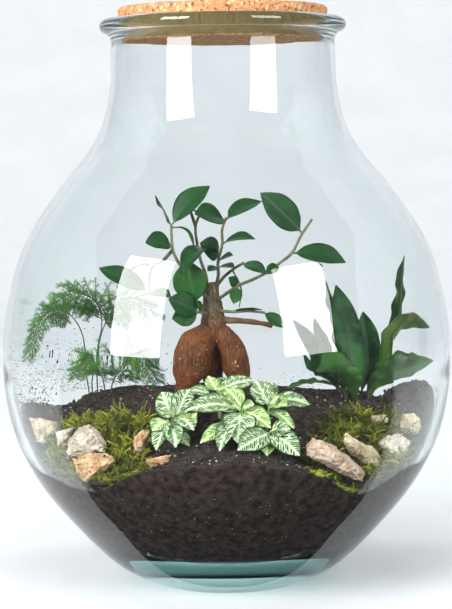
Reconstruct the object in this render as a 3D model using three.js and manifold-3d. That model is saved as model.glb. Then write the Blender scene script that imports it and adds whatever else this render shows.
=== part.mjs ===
// Glass plant terrarium: a round-bellied clear glass vessel closed by a cork lid, planted with
// a ginseng ficus, a white-veined fittonia, an asparagus fern and a bird's-nest fern in potting
// soil, with moss and rough stones around them.
// Millimetres, +Z up, +Y to the back. The origin is the centre of the flat contact face under
// the glass.

import * as THREE from 'three';
import { mergeVertices } from 'three/addons/utils/BufferGeometryUtils.js';
import Module from 'manifold-3d';

const wasm = await Module();
wasm.setup();

// Glass vessel
const SEGMENTS = 32;
const CONTACT_RADIUS = 52;
const GLASS_TOP = 375.3;
const NECK_OUTER = 74.2;
const NECK_INNER = 70;
const NECK_FOOT = 360;
const BOWL_TOP = 225;
const SHOULDER_TOP = 300;
const BEAD_RADIUS = 4.4;
const LIP_RADIUS = 82;
const LIP_ROUND = 2;
// Outside and inside of the bowl as radius and height, from the bottom up to the neck.
const BOWL_OUTSIDE = [
  [CONTACT_RADIUS, 0], [76, 12], [108, 44], [128, 70], [143, 101], [150, 140], [149, 172],
  [136, 224], [108, 267.5], [91, 288], [80.5, 308], [75.8, 329], [NECK_OUTER, NECK_FOOT],
];
const BOWL_INSIDE = [
  [0, 14], [46, 15], [78, 27], [100, 47], [122.5, 72], [138, 102], [145.6, 140], [144.6, 171],
  [131.8, 222], [104.5, 265], [87, 286], [76.3, 306], [71.6, 329], [NECK_INNER, NECK_FOOT],
];
const OUTSIDE_STEPS = 14;
const INSIDE_STEPS = 12;

// Cork lid
const CORK_TOP = 383;
const CORK_THICKNESS = 21.5;
const CORK_FOOT_RADIUS = 67.6;
const CORK_CHAMFER = 1.4;

// Clearance between pieces that touch, and the thinnest blade
const GAP = 0.35;
const BLADE = 0.7;

// Soil: its level at the glass, and its mounds and hollows as x, y, spread and height
const SOIL_LEVEL = 100.5;
const SOIL_RELIEF = [
  [-4, 8, 55, 30], [-66, 66, 20, 9], [-110, 62, 20, 4], [90, 56, 30, 5], [-138, 6, 22, 15],
  [136, 14, 22, 23], [-122, -46, 16, -10], [122, -44, 16, -12],
  [-88, -88, 32, -24], [80, -90, 30, -27],
];
const SOIL_RIPPLE = 1.1;
const SOIL_RINGS = 6;

const COLOURS = {
  glass: 0xcfe3df, cork: 0xb98553, soil: 0x3b302b, moss: 0x6c7a2b, root: 0x6f4225, ficus: 0x2c5a33,
  fittonia: 0x8fbf7a, asparagus: 0x4f8a35, nest: 0x2f6a2c,
};

// Vectors, curves and solids

const vec = (p) => new THREE.Vector3(p[0], p[1], p[2]);
const curveThrough = (points) => new THREE.CatmullRomCurve3(points.map(vec), false, 'centripetal');

function solid(geometry) {
  const bare = geometry.clone();
  bare.deleteAttribute('normal');
  bare.deleteAttribute('uv');
  const merged = mergeVertices(bare, 1e-5);
  return new wasm.Manifold(new wasm.Mesh({
    numProp: 3,
    vertProperties: new Float32Array(merged.attributes.position.array),
    triVerts: new Uint32Array(merged.index.array),
  }));
}

// A closed geometry from points and triangles of point numbers.
function facets(points, triangles) {
  const geometry = new THREE.BufferGeometry();
  const spots = points.flatMap((p) => [p.x, p.y, p.z]);
  geometry.setAttribute('position', new THREE.Float32BufferAttribute(spots, 3));
  geometry.setIndex(triangles.flat());
  return geometry;
}

// The largest connected body of a solid: loose crumbs that a cut leaves are dropped.
function mainBody(body) {
  return body.decompose().reduce((a, b) => (a.volume() > b.volume() ? a : b));
}

function lathe(profile) {
  const points = profile.map(([radius, height]) => new THREE.Vector2(radius, height));
  return solid(new THREE.LatheGeometry(points, SEGMENTS).rotateX(Math.PI / 2));
}

function named(name, body, colour, roughness, extra = {}) {
  const mesh = body.getMesh();
  const geometry = new THREE.BufferGeometry();
  geometry.setAttribute('position', new THREE.Float32BufferAttribute(mesh.vertProperties, 3));
  geometry.setIndex(Array.from(mesh.triVerts));
  const material = new THREE.MeshStandardMaterial({ color: colour, roughness, metalness: 0, ...extra });
  const node = new THREE.Mesh(geometry, material);
  node.name = name;
  return node;
}

// A tapering round stem, root or twig through the given points. The radii are spread evenly
// along it, and grow widens and lengthens it to make the hole that it stands in.
function limb(through, radii, sides, grow = 0) {
  const curve = curveThrough(through);
  const steps = through.length - 1;
  const points = [];
  let normal = new THREE.Vector3(1, 0.2, 0.1);
  for (let i = 0; i <= steps; i += 1) {
    const along = (i / steps) * (radii.length - 1);
    const low = Math.min(Math.floor(along), radii.length - 2);
    const radius = THREE.MathUtils.lerp(radii[low], radii[low + 1], along - low) + grow;
    const centre = curve.getPoint(i / steps);
    const tangent = curve.getTangent(i / steps);
    normal = normal.clone().projectOnPlane(tangent).normalize();
    const binormal = tangent.clone().cross(normal);
    if (i === 0) centre.addScaledVector(tangent, -grow);
    if (i === steps) centre.addScaledVector(tangent, grow);
    for (let j = 0; j < sides; j += 1) {
      const turn = (2 * Math.PI * j) / sides;
      points.push(centre.clone()
        .addScaledVector(normal, Math.cos(turn) * radius)
        .addScaledVector(binormal, Math.sin(turn) * radius));
    }
  }
  const triangles = [];
  for (let i = 0; i < steps; i += 1) {
    for (let j = 0; j < sides; j += 1) {
      const a = i * sides + j;
      const b = i * sides + ((j + 1) % sides);
      triangles.push([a, b, b + sides], [a, b + sides, a + sides]);
    }
  }
  const last = steps * sides;
  for (let j = 1; j < sides - 1; j += 1) {
    triangles.push([0, j + 1, j], [last, last + j, last + j + 1]);
  }
  return solid(facets(points, triangles));
}

// Half-widths of the leaf kinds, as distance along the blade and share of the full half-width
const OUTLINES = {
  ficus: [[0, 0.1], [0.16, 0.6], [0.4, 0.98], [0.64, 0.94], [0.86, 0.46], [1, 0.05]],
  fittonia: [[0, 0.12], [0.2, 0.8], [0.5, 1], [0.8, 0.62], [1, 0.06]],
  nest: [
    [0.12, 0.14], [0.24, 0.46], [0.38, 0.82], [0.52, 1], [0.66, 0.98], [0.79, 0.82], [0.9, 0.5],
    [1, 0.08],
  ],
};

// A leaf blade along a spine: folded up along its midrib, with a waved edge where it has one.
// facing is the way its upper side looks. Both faces are split into triangles alike.
function blade(spine, width, facing, kind, { fold = 0.25, wave = 0, waves = 3 } = {}) {
  const curve = curveThrough(spine);
  const outline = OUTLINES[kind];
  const top = [];
  const bottom = [];
  outline.forEach(([t, share]) => {
    const centre = curve.getPointAt(t);
    const tangent = curve.getTangentAt(t);
    const side = tangent.clone().cross(vec(facing)).normalize();
    const normal = side.clone().cross(tangent).normalize();
    const half = (width / 2) * share;
    [-1, 0, 1].forEach((edge) => {
      const ruffle = edge * wave * share * Math.sin(2 * Math.PI * waves * t + edge);
      const point = centre.clone()
        .addScaledVector(side, edge * half * Math.cos(fold))
        .addScaledVector(normal, Math.abs(edge) * (half * Math.sin(fold) + ruffle));
      top.push(point.clone().addScaledVector(normal, BLADE / 2));
      bottom.push(point.clone().addScaledVector(normal, -BLADE / 2));
    });
  });
  const rows = outline.length;
  const under = top.length;
  const triangles = [];
  const face = (a, b, c) => triangles.push([a, b, c], [a + under, c + under, b + under]);
  for (let i = 0; i < rows - 1; i += 1) {
    const a = i * 3;
    face(a, a + 1, a + 4);
    face(a, a + 4, a + 3);
    face(a + 1, a + 2, a + 4);
    face(a + 2, a + 5, a + 4);
  }
  const rim = [0, 1, 2];
  for (let i = 1; i < rows; i += 1) rim.push(i * 3 + 2);
  rim.push((rows - 1) * 3 + 1, (rows - 1) * 3);
  for (let i = rows - 2; i > 0; i -= 1) rim.push(i * 3);
  rim.forEach((p, i) => {
    const q = rim[(i + 1) % rim.length];
    triangles.push([p, p + under, q + under], [p, q + under, q]);
  });
  return solid(facets([...top, ...bottom], triangles));
}

// A leaf from its base to its tip, bowed by arch towards the side that it faces.
function leaf([base, tip, width, arch, facing], kind, shape) {
  const middle = vec(base).lerp(vec(tip), 0.5).addScaledVector(vec(facing).normalize(), arch);
  return blade([base, middle.toArray(), tip], width, facing, kind, shape);
}

// One body of pieces that all hold together.
function joined(bodies) {
  const whole = wasm.Manifold.union(bodies);
  const body = mainBody(whole);
  if (whole.volume() - body.volume() > 0.01) throw new Error('a piece is loose');
  return body;
}

// The place on the twigs nearest to a point, which the base of a leaf or a side branch is drawn to.
function onTwigs(twigs, point) {
  const between = (twig) => twig.slice(1).map((end, i) => new THREE.Line3(vec(twig[i]), vec(end)));
  const parts = twigs.flatMap(between);
  const places = parts.map((part) => part.closestPointToPoint(vec(point), true, new THREE.Vector3()));
  const away = places.map((place) => place.distanceTo(vec(point)));
  return places[away.indexOf(Math.min(...away))].toArray();
}

// Glass vessel: one blown piece with a thick bottom, a wide neck and a rolled lip. It is kept as
// three rings, each a gap above the one below, so that its collision follows the wall.

const spaced = (points, steps) => curveThrough(points.map(([r, z]) => [r, 0, z]))
  .getSpacedPoints(steps).map((p) => [p.x, p.z]);

const insideProfile = spaced(BOWL_INSIDE, INSIDE_STEPS);

function glassJar() {
  const beadCentre = LIP_RADIUS - BEAD_RADIUS;
  const underBead = new THREE.Vector2(beadCentre + BEAD_RADIUS * 0.35, GLASS_TOP - BEAD_RADIUS * 1.93);
  const flare = new THREE.QuadraticBezierCurve(
    new THREE.Vector2(NECK_OUTER, NECK_FOOT),
    new THREE.Vector2(NECK_OUTER + 0.6, underBead.y - 1.5),
    underBead,
  );
  const bead = new THREE.EllipseCurve(
    beadCentre, GLASS_TOP - BEAD_RADIUS, BEAD_RADIUS, BEAD_RADIUS, -0.6, Math.PI / 2,
  );
  const mouth = new THREE.EllipseCurve(
    NECK_INNER + LIP_ROUND, GLASS_TOP - LIP_ROUND, LIP_ROUND, LIP_ROUND, Math.PI / 2, Math.PI,
  );
  const flat = (curve, steps) => curve.getPoints(steps).map((p) => [p.x, p.y]);
  return lathe([
    [0, 0],
    ...spaced(BOWL_OUTSIDE, OUTSIDE_STEPS),
    ...flat(flare, 3).slice(1),
    ...flat(bead, 4),
    ...flat(mouth, 2),
    ...insideProfile.slice().reverse(),
  ]);
}

const above = (body, height) => body.trimByPlane([0, 0, 1], height);
const below = (body, height) => body.trimByPlane([0, 0, -1], -height);

// Cork lid: a tapered plug that sits in the neck and stands a little above the lip.

function corkLid() {
  const seat = NECK_INNER - GAP;
  const foot = CORK_TOP - CORK_THICKNESS;
  return lathe([
    [0, foot],
    [CORK_FOOT_RADIUS - CORK_CHAMFER, foot],
    [CORK_FOOT_RADIUS, foot + CORK_CHAMFER],
    [seat, GLASS_TOP - LIP_ROUND],
    [seat, CORK_TOP - CORK_CHAMFER],
    [seat - CORK_CHAMFER, CORK_TOP],
    [0, CORK_TOP],
  ]);
}

// Soil: fills the bottom of the vessel, mounded under the ficus.

function soilHeight(x, y) {
  const relief = SOIL_RELIEF.reduce((sum, [cx, cy, spread, height]) => (
    sum + height * Math.exp(-((x - cx) ** 2 + (y - cy) ** 2) / (2 * spread * spread))), 0);
  return SOIL_LEVEL + relief + SOIL_RIPPLE * Math.sin(x / 13 + 1) * Math.cos(y / 11);
}

// The soil's own side: the inside of the glass, a gap clear of it.
const soilSide = insideProfile.map(([r, z]) => [Math.max(r - GAP, 0), z + GAP]);

function soilSideRadius(height) {
  const upper = soilSide.findIndex(([, z]) => z > height);
  const [r0, z0] = soilSide[upper - 1];
  const [r1, z1] = soilSide[upper];
  return r0 + ((r1 - r0) * (height - z0)) / (z1 - z0);
}

function soilBed() {
  const points = [new THREE.Vector3(0, 0, soilHeight(0, 0))];
  const rings = [];
  const ring = (place) => {
    rings.push(points.length);
    for (let j = 0; j < SEGMENTS; j += 1) points.push(place((2 * Math.PI * j) / SEGMENTS));
  };
  const rimAt = (turn) => {
    let radius = soilSideRadius(SOIL_LEVEL);
    for (let i = 0; i < 8; i += 1) {
      radius = soilSideRadius(soilHeight(radius * Math.cos(turn), radius * Math.sin(turn)));
    }
    return radius;
  };
  for (let i = 1; i <= SOIL_RINGS; i += 1) {
    ring((turn) => {
      const radius = (rimAt(turn) * i) / SOIL_RINGS;
      const [x, y] = [radius * Math.cos(turn), radius * Math.sin(turn)];
      return new THREE.Vector3(x, y, soilHeight(x, y));
    });
  }
  const walls = soilSide.filter(([r, z]) => r > 1 && z < SOIL_LEVEL - 4).reverse();
  walls.forEach(([wall, z], step) => {
    ring((turn) => {
      const rim = rimAt(turn);
      const top = soilHeight(rim * Math.cos(turn), rim * Math.sin(turn));
      const height = Math.min(z, top - 2 * (step + 1));
      const radius = height < z ? soilSideRadius(height) : wall;
      return new THREE.Vector3(radius * Math.cos(turn), radius * Math.sin(turn), height);
    });
  });
  const triangles = [];
  for (let j = 0; j < SEGMENTS; j += 1) {
    const next = (j + 1) % SEGMENTS;
    triangles.push([0, rings[0] + j, rings[0] + next]);
    for (let i = 0; i < rings.length - 1; i += 1) {
      const [a, b] = [rings[i] + j, rings[i] + next];
      const [c, d] = [rings[i + 1] + j, rings[i + 1] + next];
      triangles.push([a, c, d], [a, d, b]);
    }
    const low = rings[rings.length - 1];
    triangles.push([points.length, low + next, low + j]);
  }
  points.push(new THREE.Vector3(0, 0, soilSide[0][1]));
  return solid(facets(points, triangles));
}

// Stones: rough blocks. The outline is seen from the front as x and z, y is the depth of the
// middle, deep is the thickness and turn swings the block about its own upright axis.

const STONES = [
  {
    name: 'stone_left_cream', y: -24, deep: 20, turn: -25, colour: 0xd6c3a6,
    outline: [[-132, 112.5], [-125, 113.5], [-114, 109.5], [-111, 103.5], [-114, 92.5], [-125, 90.5]],
  },
  {
    name: 'stone_left_grey', y: -42, deep: 13, turn: -10, colour: 0xc9c4b8,
    outline: [[-112, 106.5], [-98, 110.5], [-102, 100.5], [-111, 93.5]],
  },
  {
    name: 'stone_left_pointed', y: -62, deep: 21, turn: -20, colour: 0xcfcabd,
    outline: [
      [-94, 113.5], [-86, 115.5], [-80, 106.5], [-75, 97.5], [-89, 89.5], [-103, 91.5], [-102, 102.5],
    ],
  },
  {
    name: 'stone_left_tan', y: -85, deep: 18, turn: -24, colour: 0xcfa983,
    outline: [
      [-98, 96.5], [-88, 100.5], [-76, 100.5], [-68, 95.5], [-76, 86.5], [-84, 79.5], [-92, 85.5],
    ],
  },
  {
    name: 'stone_left_orange', y: -78, deep: 12, turn: -15, colour: 0xc98f5c,
    outline: [[-59, 108.5], [-53, 114.5], [-48, 111.5], [-50, 102.5], [-55, 95.5], [-60, 97.5]],
  },
  {
    name: 'stone_front_flat', y: -108, deep: 10, turn: 0, colour: 0xc9a184,
    outline: [[-52, 99.5], [-45, 101.5], [-34, 102.5], [-35, 96.5], [-46, 92.5]],
  },
  {
    name: 'stone_right_long', y: -93, deep: 17, turn: 22, colour: 0xcdb2a4,
    outline: [
      [45, 106.5], [50, 111.5], [66, 104.5], [77, 95.5], [86, 87.5], [83, 80.5], [72, 84.5],
      [58, 92.5], [47, 98.5],
    ],
  },
  {
    name: 'stone_right_beige', y: -74, deep: 14, turn: 24, colour: 0xd8c7ac,
    outline: [
      [72, 110.5], [69, 105.5], [76, 95.5], [88, 86.5], [94, 82.5], [98, 92.5], [92, 99.5],
      [83, 103.5],
    ],
  },
  {
    name: 'stone_right_grey', y: -55, deep: 18, turn: 20, colour: 0xcbc3b6,
    outline: [
      [95, 99.5], [104, 104.5], [111, 104.5], [118, 99.5], [115, 92.5], [103, 86.5], [97, 92.5],
    ],
  },
  {
    name: 'stone_far_right', y: -20, deep: 18, turn: 14, colour: 0xd4bfa6,
    outline: [
      [116, 112.5], [124, 112.5], [128, 108.5], [130, 102.5], [128, 96.5], [121, 94.5], [113, 100.5],
    ],
  },
  {
    name: 'stone_back_small', y: -24, deep: 9, turn: 5, colour: 0xc4b7a4,
    outline: [[94, 111.5], [106, 112.5], [108, 105.5], [96, 103.5]],
  },
];

// Shares of the outline's size at four slices from the front of a stone to its back
const STONE_SLICES = [[-0.5, 0.58], [-0.2, 1], [0.22, 0.94], [0.5, 0.52]];

function stone({ y, deep, turn, outline }, grow = 0) {
  const cx = outline.reduce((sum, p) => sum + p[0], 0) / outline.length;
  const cz = outline.reduce((sum, p) => sum + p[1], 0) / outline.length;
  const sides = outline.length;
  const points = [];
  STONE_SLICES.forEach(([depth, share], slice) => {
    outline.forEach(([x, z], i) => {
      const chip = 1 - 0.1 * ((i * 7 + slice * 5) % 3);
      const size = share * (slice === 1 ? 1 : chip);
      const local = new THREE.Vector3((x - cx) * size, deep * depth, (z - cz) * size);
      local.setLength(local.length() + grow);
      points.push(local);
    });
  });
  const triangles = [];
  for (let s = 0; s < STONE_SLICES.length - 1; s += 1) {
    for (let i = 0; i < sides; i += 1) {
      const [a, b] = [s * sides + i, s * sides + ((i + 1) % sides)];
      triangles.push([a, b, b + sides], [a, b + sides, a + sides]);
    }
  }
  const back = (STONE_SLICES.length - 1) * sides;
  for (let i = 1; i < sides - 1; i += 1) {
    triangles.push([0, i + 1, i], [back, back + i, back + i + 1]);
  }
  const geometry = facets(points, triangles);
  geometry.rotateZ(THREE.MathUtils.degToRad(turn)).translate(cx, y, cz);
  const body = solid(geometry);
  return body.volume() > 0 ? body : solid(flipped(geometry));
}

// The same geometry with its faces turned the other way out.
function flipped(geometry) {
  const index = geometry.index.array;
  for (let i = 0; i < index.length; i += 3) [index[i + 1], index[i + 2]] = [index[i + 2], index[i + 1]];
  return geometry;
}

// Moss: low mats that lie on the soil, as centre, half-axes, turn and thickness.

const MOSS = [
  { name: 'moss_left', at: [-84, -56], half: [34, 50], turn: 26, thick: 8 },
  { name: 'moss_right', at: [87, -52], half: [32, 48], turn: -32, thick: 8 },
];
const MOSS_RINGS = 3;
const MOSS_SEGMENTS = 12;
const MOSS_ROOT = 4;

function mossMat({ at, half, turn, thick }) {
  const swing = THREE.MathUtils.degToRad(turn);
  const points = [];
  const place = (reach, angle, height) => {
    const edge = 1 + 0.09 * Math.sin(3 * angle + 1) + 0.06 * Math.sin(5 * angle);
    const [u, v] = [half[0] * reach * edge * Math.cos(angle), half[1] * reach * edge * Math.sin(angle)];
    const x = at[0] + u * Math.cos(swing) - v * Math.sin(swing);
    const y = at[1] + u * Math.sin(swing) + v * Math.cos(swing);
    points.push(new THREE.Vector3(x, y, soilHeight(x, y) + height));
  };
  const swell = (reach, angle) => thick * Math.sqrt(1 - 0.96 * reach ** 2)
    * (1 + 0.16 * Math.sin(4 * angle + 7 * reach));
  place(0, 0, thick);
  for (let i = 1; i <= MOSS_RINGS; i += 1) {
    for (let j = 0; j < MOSS_SEGMENTS; j += 1) {
      const angle = (2 * Math.PI * j) / MOSS_SEGMENTS;
      place(i / MOSS_RINGS, angle, swell(i / MOSS_RINGS, angle));
    }
  }
  const under = points.length;
  for (let i = 0; i < under; i += 1) {
    const { x, y } = points[i];
    points.push(new THREE.Vector3(x, y, soilHeight(x, y) - MOSS_ROOT));
  }
  const triangles = [];
  const face = (a, b, c) => triangles.push([a, b, c], [a + under, c + under, b + under]);
  for (let j = 0; j < MOSS_SEGMENTS; j += 1) {
    const next = (j + 1) % MOSS_SEGMENTS;
    face(0, 1 + j, 1 + next);
    for (let i = 0; i < MOSS_RINGS - 1; i += 1) {
      const [a, b] = [1 + i * MOSS_SEGMENTS + j, 1 + i * MOSS_SEGMENTS + next];
      face(a, a + MOSS_SEGMENTS, b + MOSS_SEGMENTS);
      face(a, b + MOSS_SEGMENTS, b);
    }
    const [p, q] = [1 + (MOSS_RINGS - 1) * MOSS_SEGMENTS + j, 1 + (MOSS_RINGS - 1) * MOSS_SEGMENTS + next];
    triangles.push([p, p + under, q + under], [p, q + under, q]);
  }
  return solid(facets(points, triangles));
}

// Ficus: a swollen root on three legs, a trunk with a cut top and a thick cut side branch.

const FICUS_WOOD = [
  {
    through: [[-9, 6, 159], [-9, 2.5, 168.5], [-9, 0, 180.5], [-10, 0, 190.5], [-10, 0, 200.5]],
    radii: [6, 9, 7.1, 5.7, 5.3], sides: 9,
  },
  {
    through: [
      [-12, 0, 167.5], [-20, -1, 157.5], [-24, -2, 147.5], [-27, -2, 136.5], [-31, -2, 122.5],
      [-32, -2, 110.5],
    ],
    radii: [7, 12.4, 13, 11.4, 7, 4, 3], sides: 9,
  },
  {
    through: [
      [-4, 0, 167.5], [2, 1, 157.5], [6, 1, 148.5], [8, 1, 138.5], [9, 1, 123.5], [10, 1, 111.5],
    ],
    radii: [6.5, 8.6, 9.2, 9, 6.5, 4, 3], sides: 8,
  },
  {
    through: [[-8, 4, 164.5], [-9, 10, 152.5], [-10, 13, 138.5], [-9, 14, 122.5], [-8, 14, 112.5]],
    radii: [6, 8, 7, 5, 3], sides: 7,
  },
  {
    through: [[-5, 0, 175], [2, -1, 174.5], [16, -2, 173.5], [31, -4, 171]],
    radii: [3, 2.2, 1.9, 1.7], sides: 6,
  },
];

// Leafy twigs: the twigs' points from the trunk out, then each leaf as base, tip, width, arch
// and the way its upper side looks. The first twig of a spray stands in a hole in the trunk.

const TWIG_RADII = [1.2, 0.9];
const TWIG_SIDES = 3;
const FICUS_SPRAYS = {
  ficus_spray_left: {
    twigs: [
      [
        [-12, -3, 188.5], [-16, -6, 194.5], [-25, -8, 205.5], [-32, -9, 215.5], [-35, -8, 222.5],
        [-36, -4, 233.5], [-36, -2, 238.5],
      ],
      [[-35, -8, 222.5], [-42, -2, 215.5], [-49, 4, 211.5], [-52, 9, 201.5], [-52, 11, 192.5]],
    ],
    leaves: [
      [[-36, -2, 237.5], [-10, 6, 264.5], 19, 3, [-0.5, -0.8, 0.35]],
      [[-36, -1, 236.5], [-47, 10, 257.5], 10, -3, [-0.6, 0.4, 0.6]],
      [[-35, -2, 236.5], [-21, 4, 223.5], 7, 5, [0.3, 0.2, 0.9]],
      [[-33, -8, 225.5], [-53, -15, 227.5], 16, 2, [0.1, -0.7, 0.7]],
      [[-52, 11, 193.5], [-87, 22, 209.5], 16, 2, [0.1, -0.75, 0.65]],
      [[-52, 11, 193.5], [-37, 1, 190.5], 11, 1, [0, -0.6, 0.8]],
      [[-49, 4, 211.5], [-68, 14, 204.5], 8, 4, [0, -0.2, 0.95]],
    ],
  },
  ficus_spray_top_left: {
    twigs: [
      [
        [-13, 2, 196.5], [-13, 2, 203.5], [-17, 6, 215.5], [-19, 7, 225.5], [-20, 8, 236.5],
        [-17, 7, 244.5],
      ],
      [[-20, 8, 236.5], [-24, 12, 248.5]],
    ],
    leaves: [
      [[-17, 7, 243.5], [-23, 1, 248.5], 6, 1, [-0.3, -0.5, 0.8]],
    ],
  },
  ficus_spray_top: {
    twigs: [
      [[-7, 0, 196.5], [-5, 1, 204.5], [-5, 2, 213.5], [-2, 2, 225.5], [-2, 1, 234.5], [1, 0, 242.5]],
    ],
    leaves: [
      [[0.5, 0, 240.5], [-20, -13, 245.5], 20, 2, [-0.15, -0.75, 0.65]],
      [[0, 1, 241], [25, 10, 252.5], 17, 2, [-0.2, -0.5, 0.85]],
      [[-2, 1, 225.5], [20, -6, 228.5], 11, 3, [0, -0.5, 0.85]],
      [[-4, 2, 219.5], [-28, -24, 208.5], 20, 9, [-0.25, -0.35, 0.9]],
      [[-4, 2, 217.5], [-17, -9, 226.5], 16, 3, [-0.2, -0.85, 0.5]],
      [[-5, 2, 214.5], [5, -7, 218.5], 8, 1, [0, -0.6, 0.8]],
      [[-5, 2, 210.5], [6, -9, 210.5], 9, 1, [0.1, -0.5, 0.85]],
      [[-5, 1, 210.5], [-12, -8, 208.5], 8, 0.5, [-0.2, -0.8, 0.5]],
    ],
  },
  ficus_spray_right: {
    twigs: [
      [
        [-7, -2, 187.5], [-1, -3, 192], [9, -4, 198.5], [17, -2, 201.5], [26, 2, 205.5],
        [37, 8, 212.5], [45, 10, 218.5], [52, 10, 230.5], [59, 9, 240.5],
      ],
    ],
    leaves: [
      [[52, 10, 231.5], [24, 2, 258.5], 21, 2, [0.2, -0.95, 0.25]],
      [[46, 10, 218.5], [81, 0, 212.5], 16, 4, [0, -0.75, 0.65]],
      [[46, 10, 218.5], [67, 24, 208.5], 9, 2, [0, -0.3, 0.95]],
      [[36, 7, 211.5], [27, -3, 205.5], 8, 1, [0.4, -0.6, 0.6]],
      [[8, -4, 198], [2, -12, 204.5], 8, 0.5, [0, -0.9, 0.3]],
      [[8, -4, 197.5], [5, -11, 186.5], 9, 0.5, [0.1, -0.9, 0.2]],
    ],
  },
  ficus_spray_inner: {
    twigs: [
      [[-7, 3, 196.5], [-1, 7, 203.5], [5, 5, 208.5], [12, -3, 213.5]],
    ],
    leaves: [
      [[11, -2, 213], [27, -14, 206.5], 10, 2, [0, -0.7, 0.7]],
      [[5, 5, 207.5], [9, 7, 182.5], 6, 3, [0.9, -0.1, 0.3]],
    ],
  },
  ficus_spray_lower_right: {
    twigs: [
      [[-5, -3, 181.5], [3, -7, 181], [15, -10, 181.5], [26, -12, 180.5]],
    ],
    leaves: [
      [[4, -7, 181], [24, -16, 183], 9, 0.5, [0.2, 0.1, 0.97]],
      [[25, -12, 180.5], [38, -15, 170.5], 10, 1, [0.4, -0.75, 0.4]],
    ],
  },
  ficus_spray_lower_left: {
    twigs: [
      [[-11, -5, 178.5], [-16, -9, 181.5], [-21, -13, 187.5]],
      [[-14, -8, 180.5], [-19, -14, 181.5]],
    ],
    leaves: [
      [[-20, -12, 186.5], [-26, -14, 216.5], 24, 1, [-0.2, -0.95, 0.2]],
      [[-18, -13, 181.5], [-38, -24, 191.5], 18, 1, [-0.1, -0.9, 0.4]],
      [[-18, -13, 181.5], [-36, -17, 177.5], 15, 1, [0, -0.98, 0.1]],
      [[-16, -9, 181.5], [-20, -17, 189.5], 6, 0.3, [0.3, -0.8, 0.4]],
    ],
  },
};

// Fittonia: each leafy stem stands in the soil. Leaves are net-veined ovals.

const FITTONIA_RADII = [1.3, 0.9];
const FITTONIA_STEMS = {
  fittonia_stem_back: {
    twigs: [
      [[-5, -58, 106.5], [-5, -54, 122.5], [-6, -48, 132.5]],
      [[-5, -54, 122.5], [-11, -52, 129.5]],
    ],
    leaves: [
      [[-7, -49, 131.5], [-12, -45, 144.5], 10, 0.5, [0, -0.98, 0.15]],
      [[-6, -48, 132.5], [0, -40, 142.5], 12, 0.5, [0, -0.9, 0.35]],
      [[-5, -49, 132.5], [18, -44, 140.5], 16, 3, [0.05, -0.75, 0.6]],
      [[-11, -52, 129.5], [-26, -48, 131.5], 14, 2, [-0.1, -0.5, 0.85]],
    ],
  },
  fittonia_stem_centre: {
    twigs: [
      [[0, -80, 102.5], [4, -76, 114.5], [9, -73, 124.5]],
    ],
    leaves: [
      [[9, -73, 124], [-1, -66, 136.5], 15, 1, [0.2, -0.75, 0.6]],
      [[8, -73, 124.5], [-25, -82, 125.5], 16, 4, [0, -0.6, 0.8]],
      [[8, -75, 123.5], [6, -101, 107.5], 22, 3, [0.05, -0.8, 0.6]],
      [[6, -75, 119.5], [-5, -106, 103.5], 14, 4, [-0.3, -0.75, 0.5]],
      [[10, -74, 124], [27, -89, 114.5], 15, 2, [0.15, -0.75, 0.6]],
    ],
  },
  fittonia_stem_right: {
    twigs: [
      [[24, -66, 102.5], [26, -62, 114.5], [27, -60, 124.5]],
    ],
    leaves: [
      [[26, -60, 123.5], [19, -54, 140.5], 17, 1, [0, -0.95, 0.3]],
      [[27.5, -60, 124.5], [29, -51, 139.5], 10, 0.5, [0.2, -0.95, 0.3]],
      [[28, -60, 123.5], [38, -72, 125.5], 14, 1.5, [0.1, -0.6, 0.8]],
      [[28, -59, 123.5], [53, -55, 123.5], 13, 4, [0, -0.6, 0.8]],
      [[28, -60, 119.5], [42, -80, 112.5], 10, 2, [0.4, -0.6, 0.7]],
    ],
  },
  fittonia_stem_front_right: {
    twigs: [
      [[24, -84, 98.5], [25, -86, 106.5], [27, -88, 112.5]],
    ],
    leaves: [
      [[27, -87, 111.5], [39, -93, 114.5], 13, 1.5, [0.2, -0.75, 0.6]],
      [[27, -89, 112.5], [44, -103, 99.5], 17, 2, [0.2, -0.85, 0.5]],
      [[26, -89, 111.5], [6, -109, 104.5], 17, 2, [0, -0.85, 0.5]],
    ],
  },
  fittonia_stem_left: {
    twigs: [
      [[-32, -66, 100.5], [-34, -70, 112.5], [-33, -72, 120.5]],
      [[-34, -70, 112.5], [-38, -78, 118.5]],
    ],
    leaves: [
      [[-33, -72, 119.5], [-24, -62, 135.5], 15, 1, [0.1, -0.9, 0.4]],
      [[-34, -71, 118.5], [-42, -59, 132.5], 16, 1, [-0.1, -0.95, 0.3]],
      [[-38, -78, 117.5], [-47, -88, 113.5], 14, 1.5, [-0.2, -0.75, 0.6]],
      [[-37, -78, 117.5], [-44, -100, 103.5], 13, 2.5, [-0.4, -0.8, 0.4]],
      [[-36, -78, 117.5], [-32, -102, 105.5], 14, 2.5, [0.1, -0.85, 0.5]],
      [[-32, -72, 119.5], [-21, -94, 114.5], 16, 3, [0.2, -0.8, 0.6]],
    ],
  },
};

// Bird's-nest fern: straps with waved edges, each on its own stalk round the crown.

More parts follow.
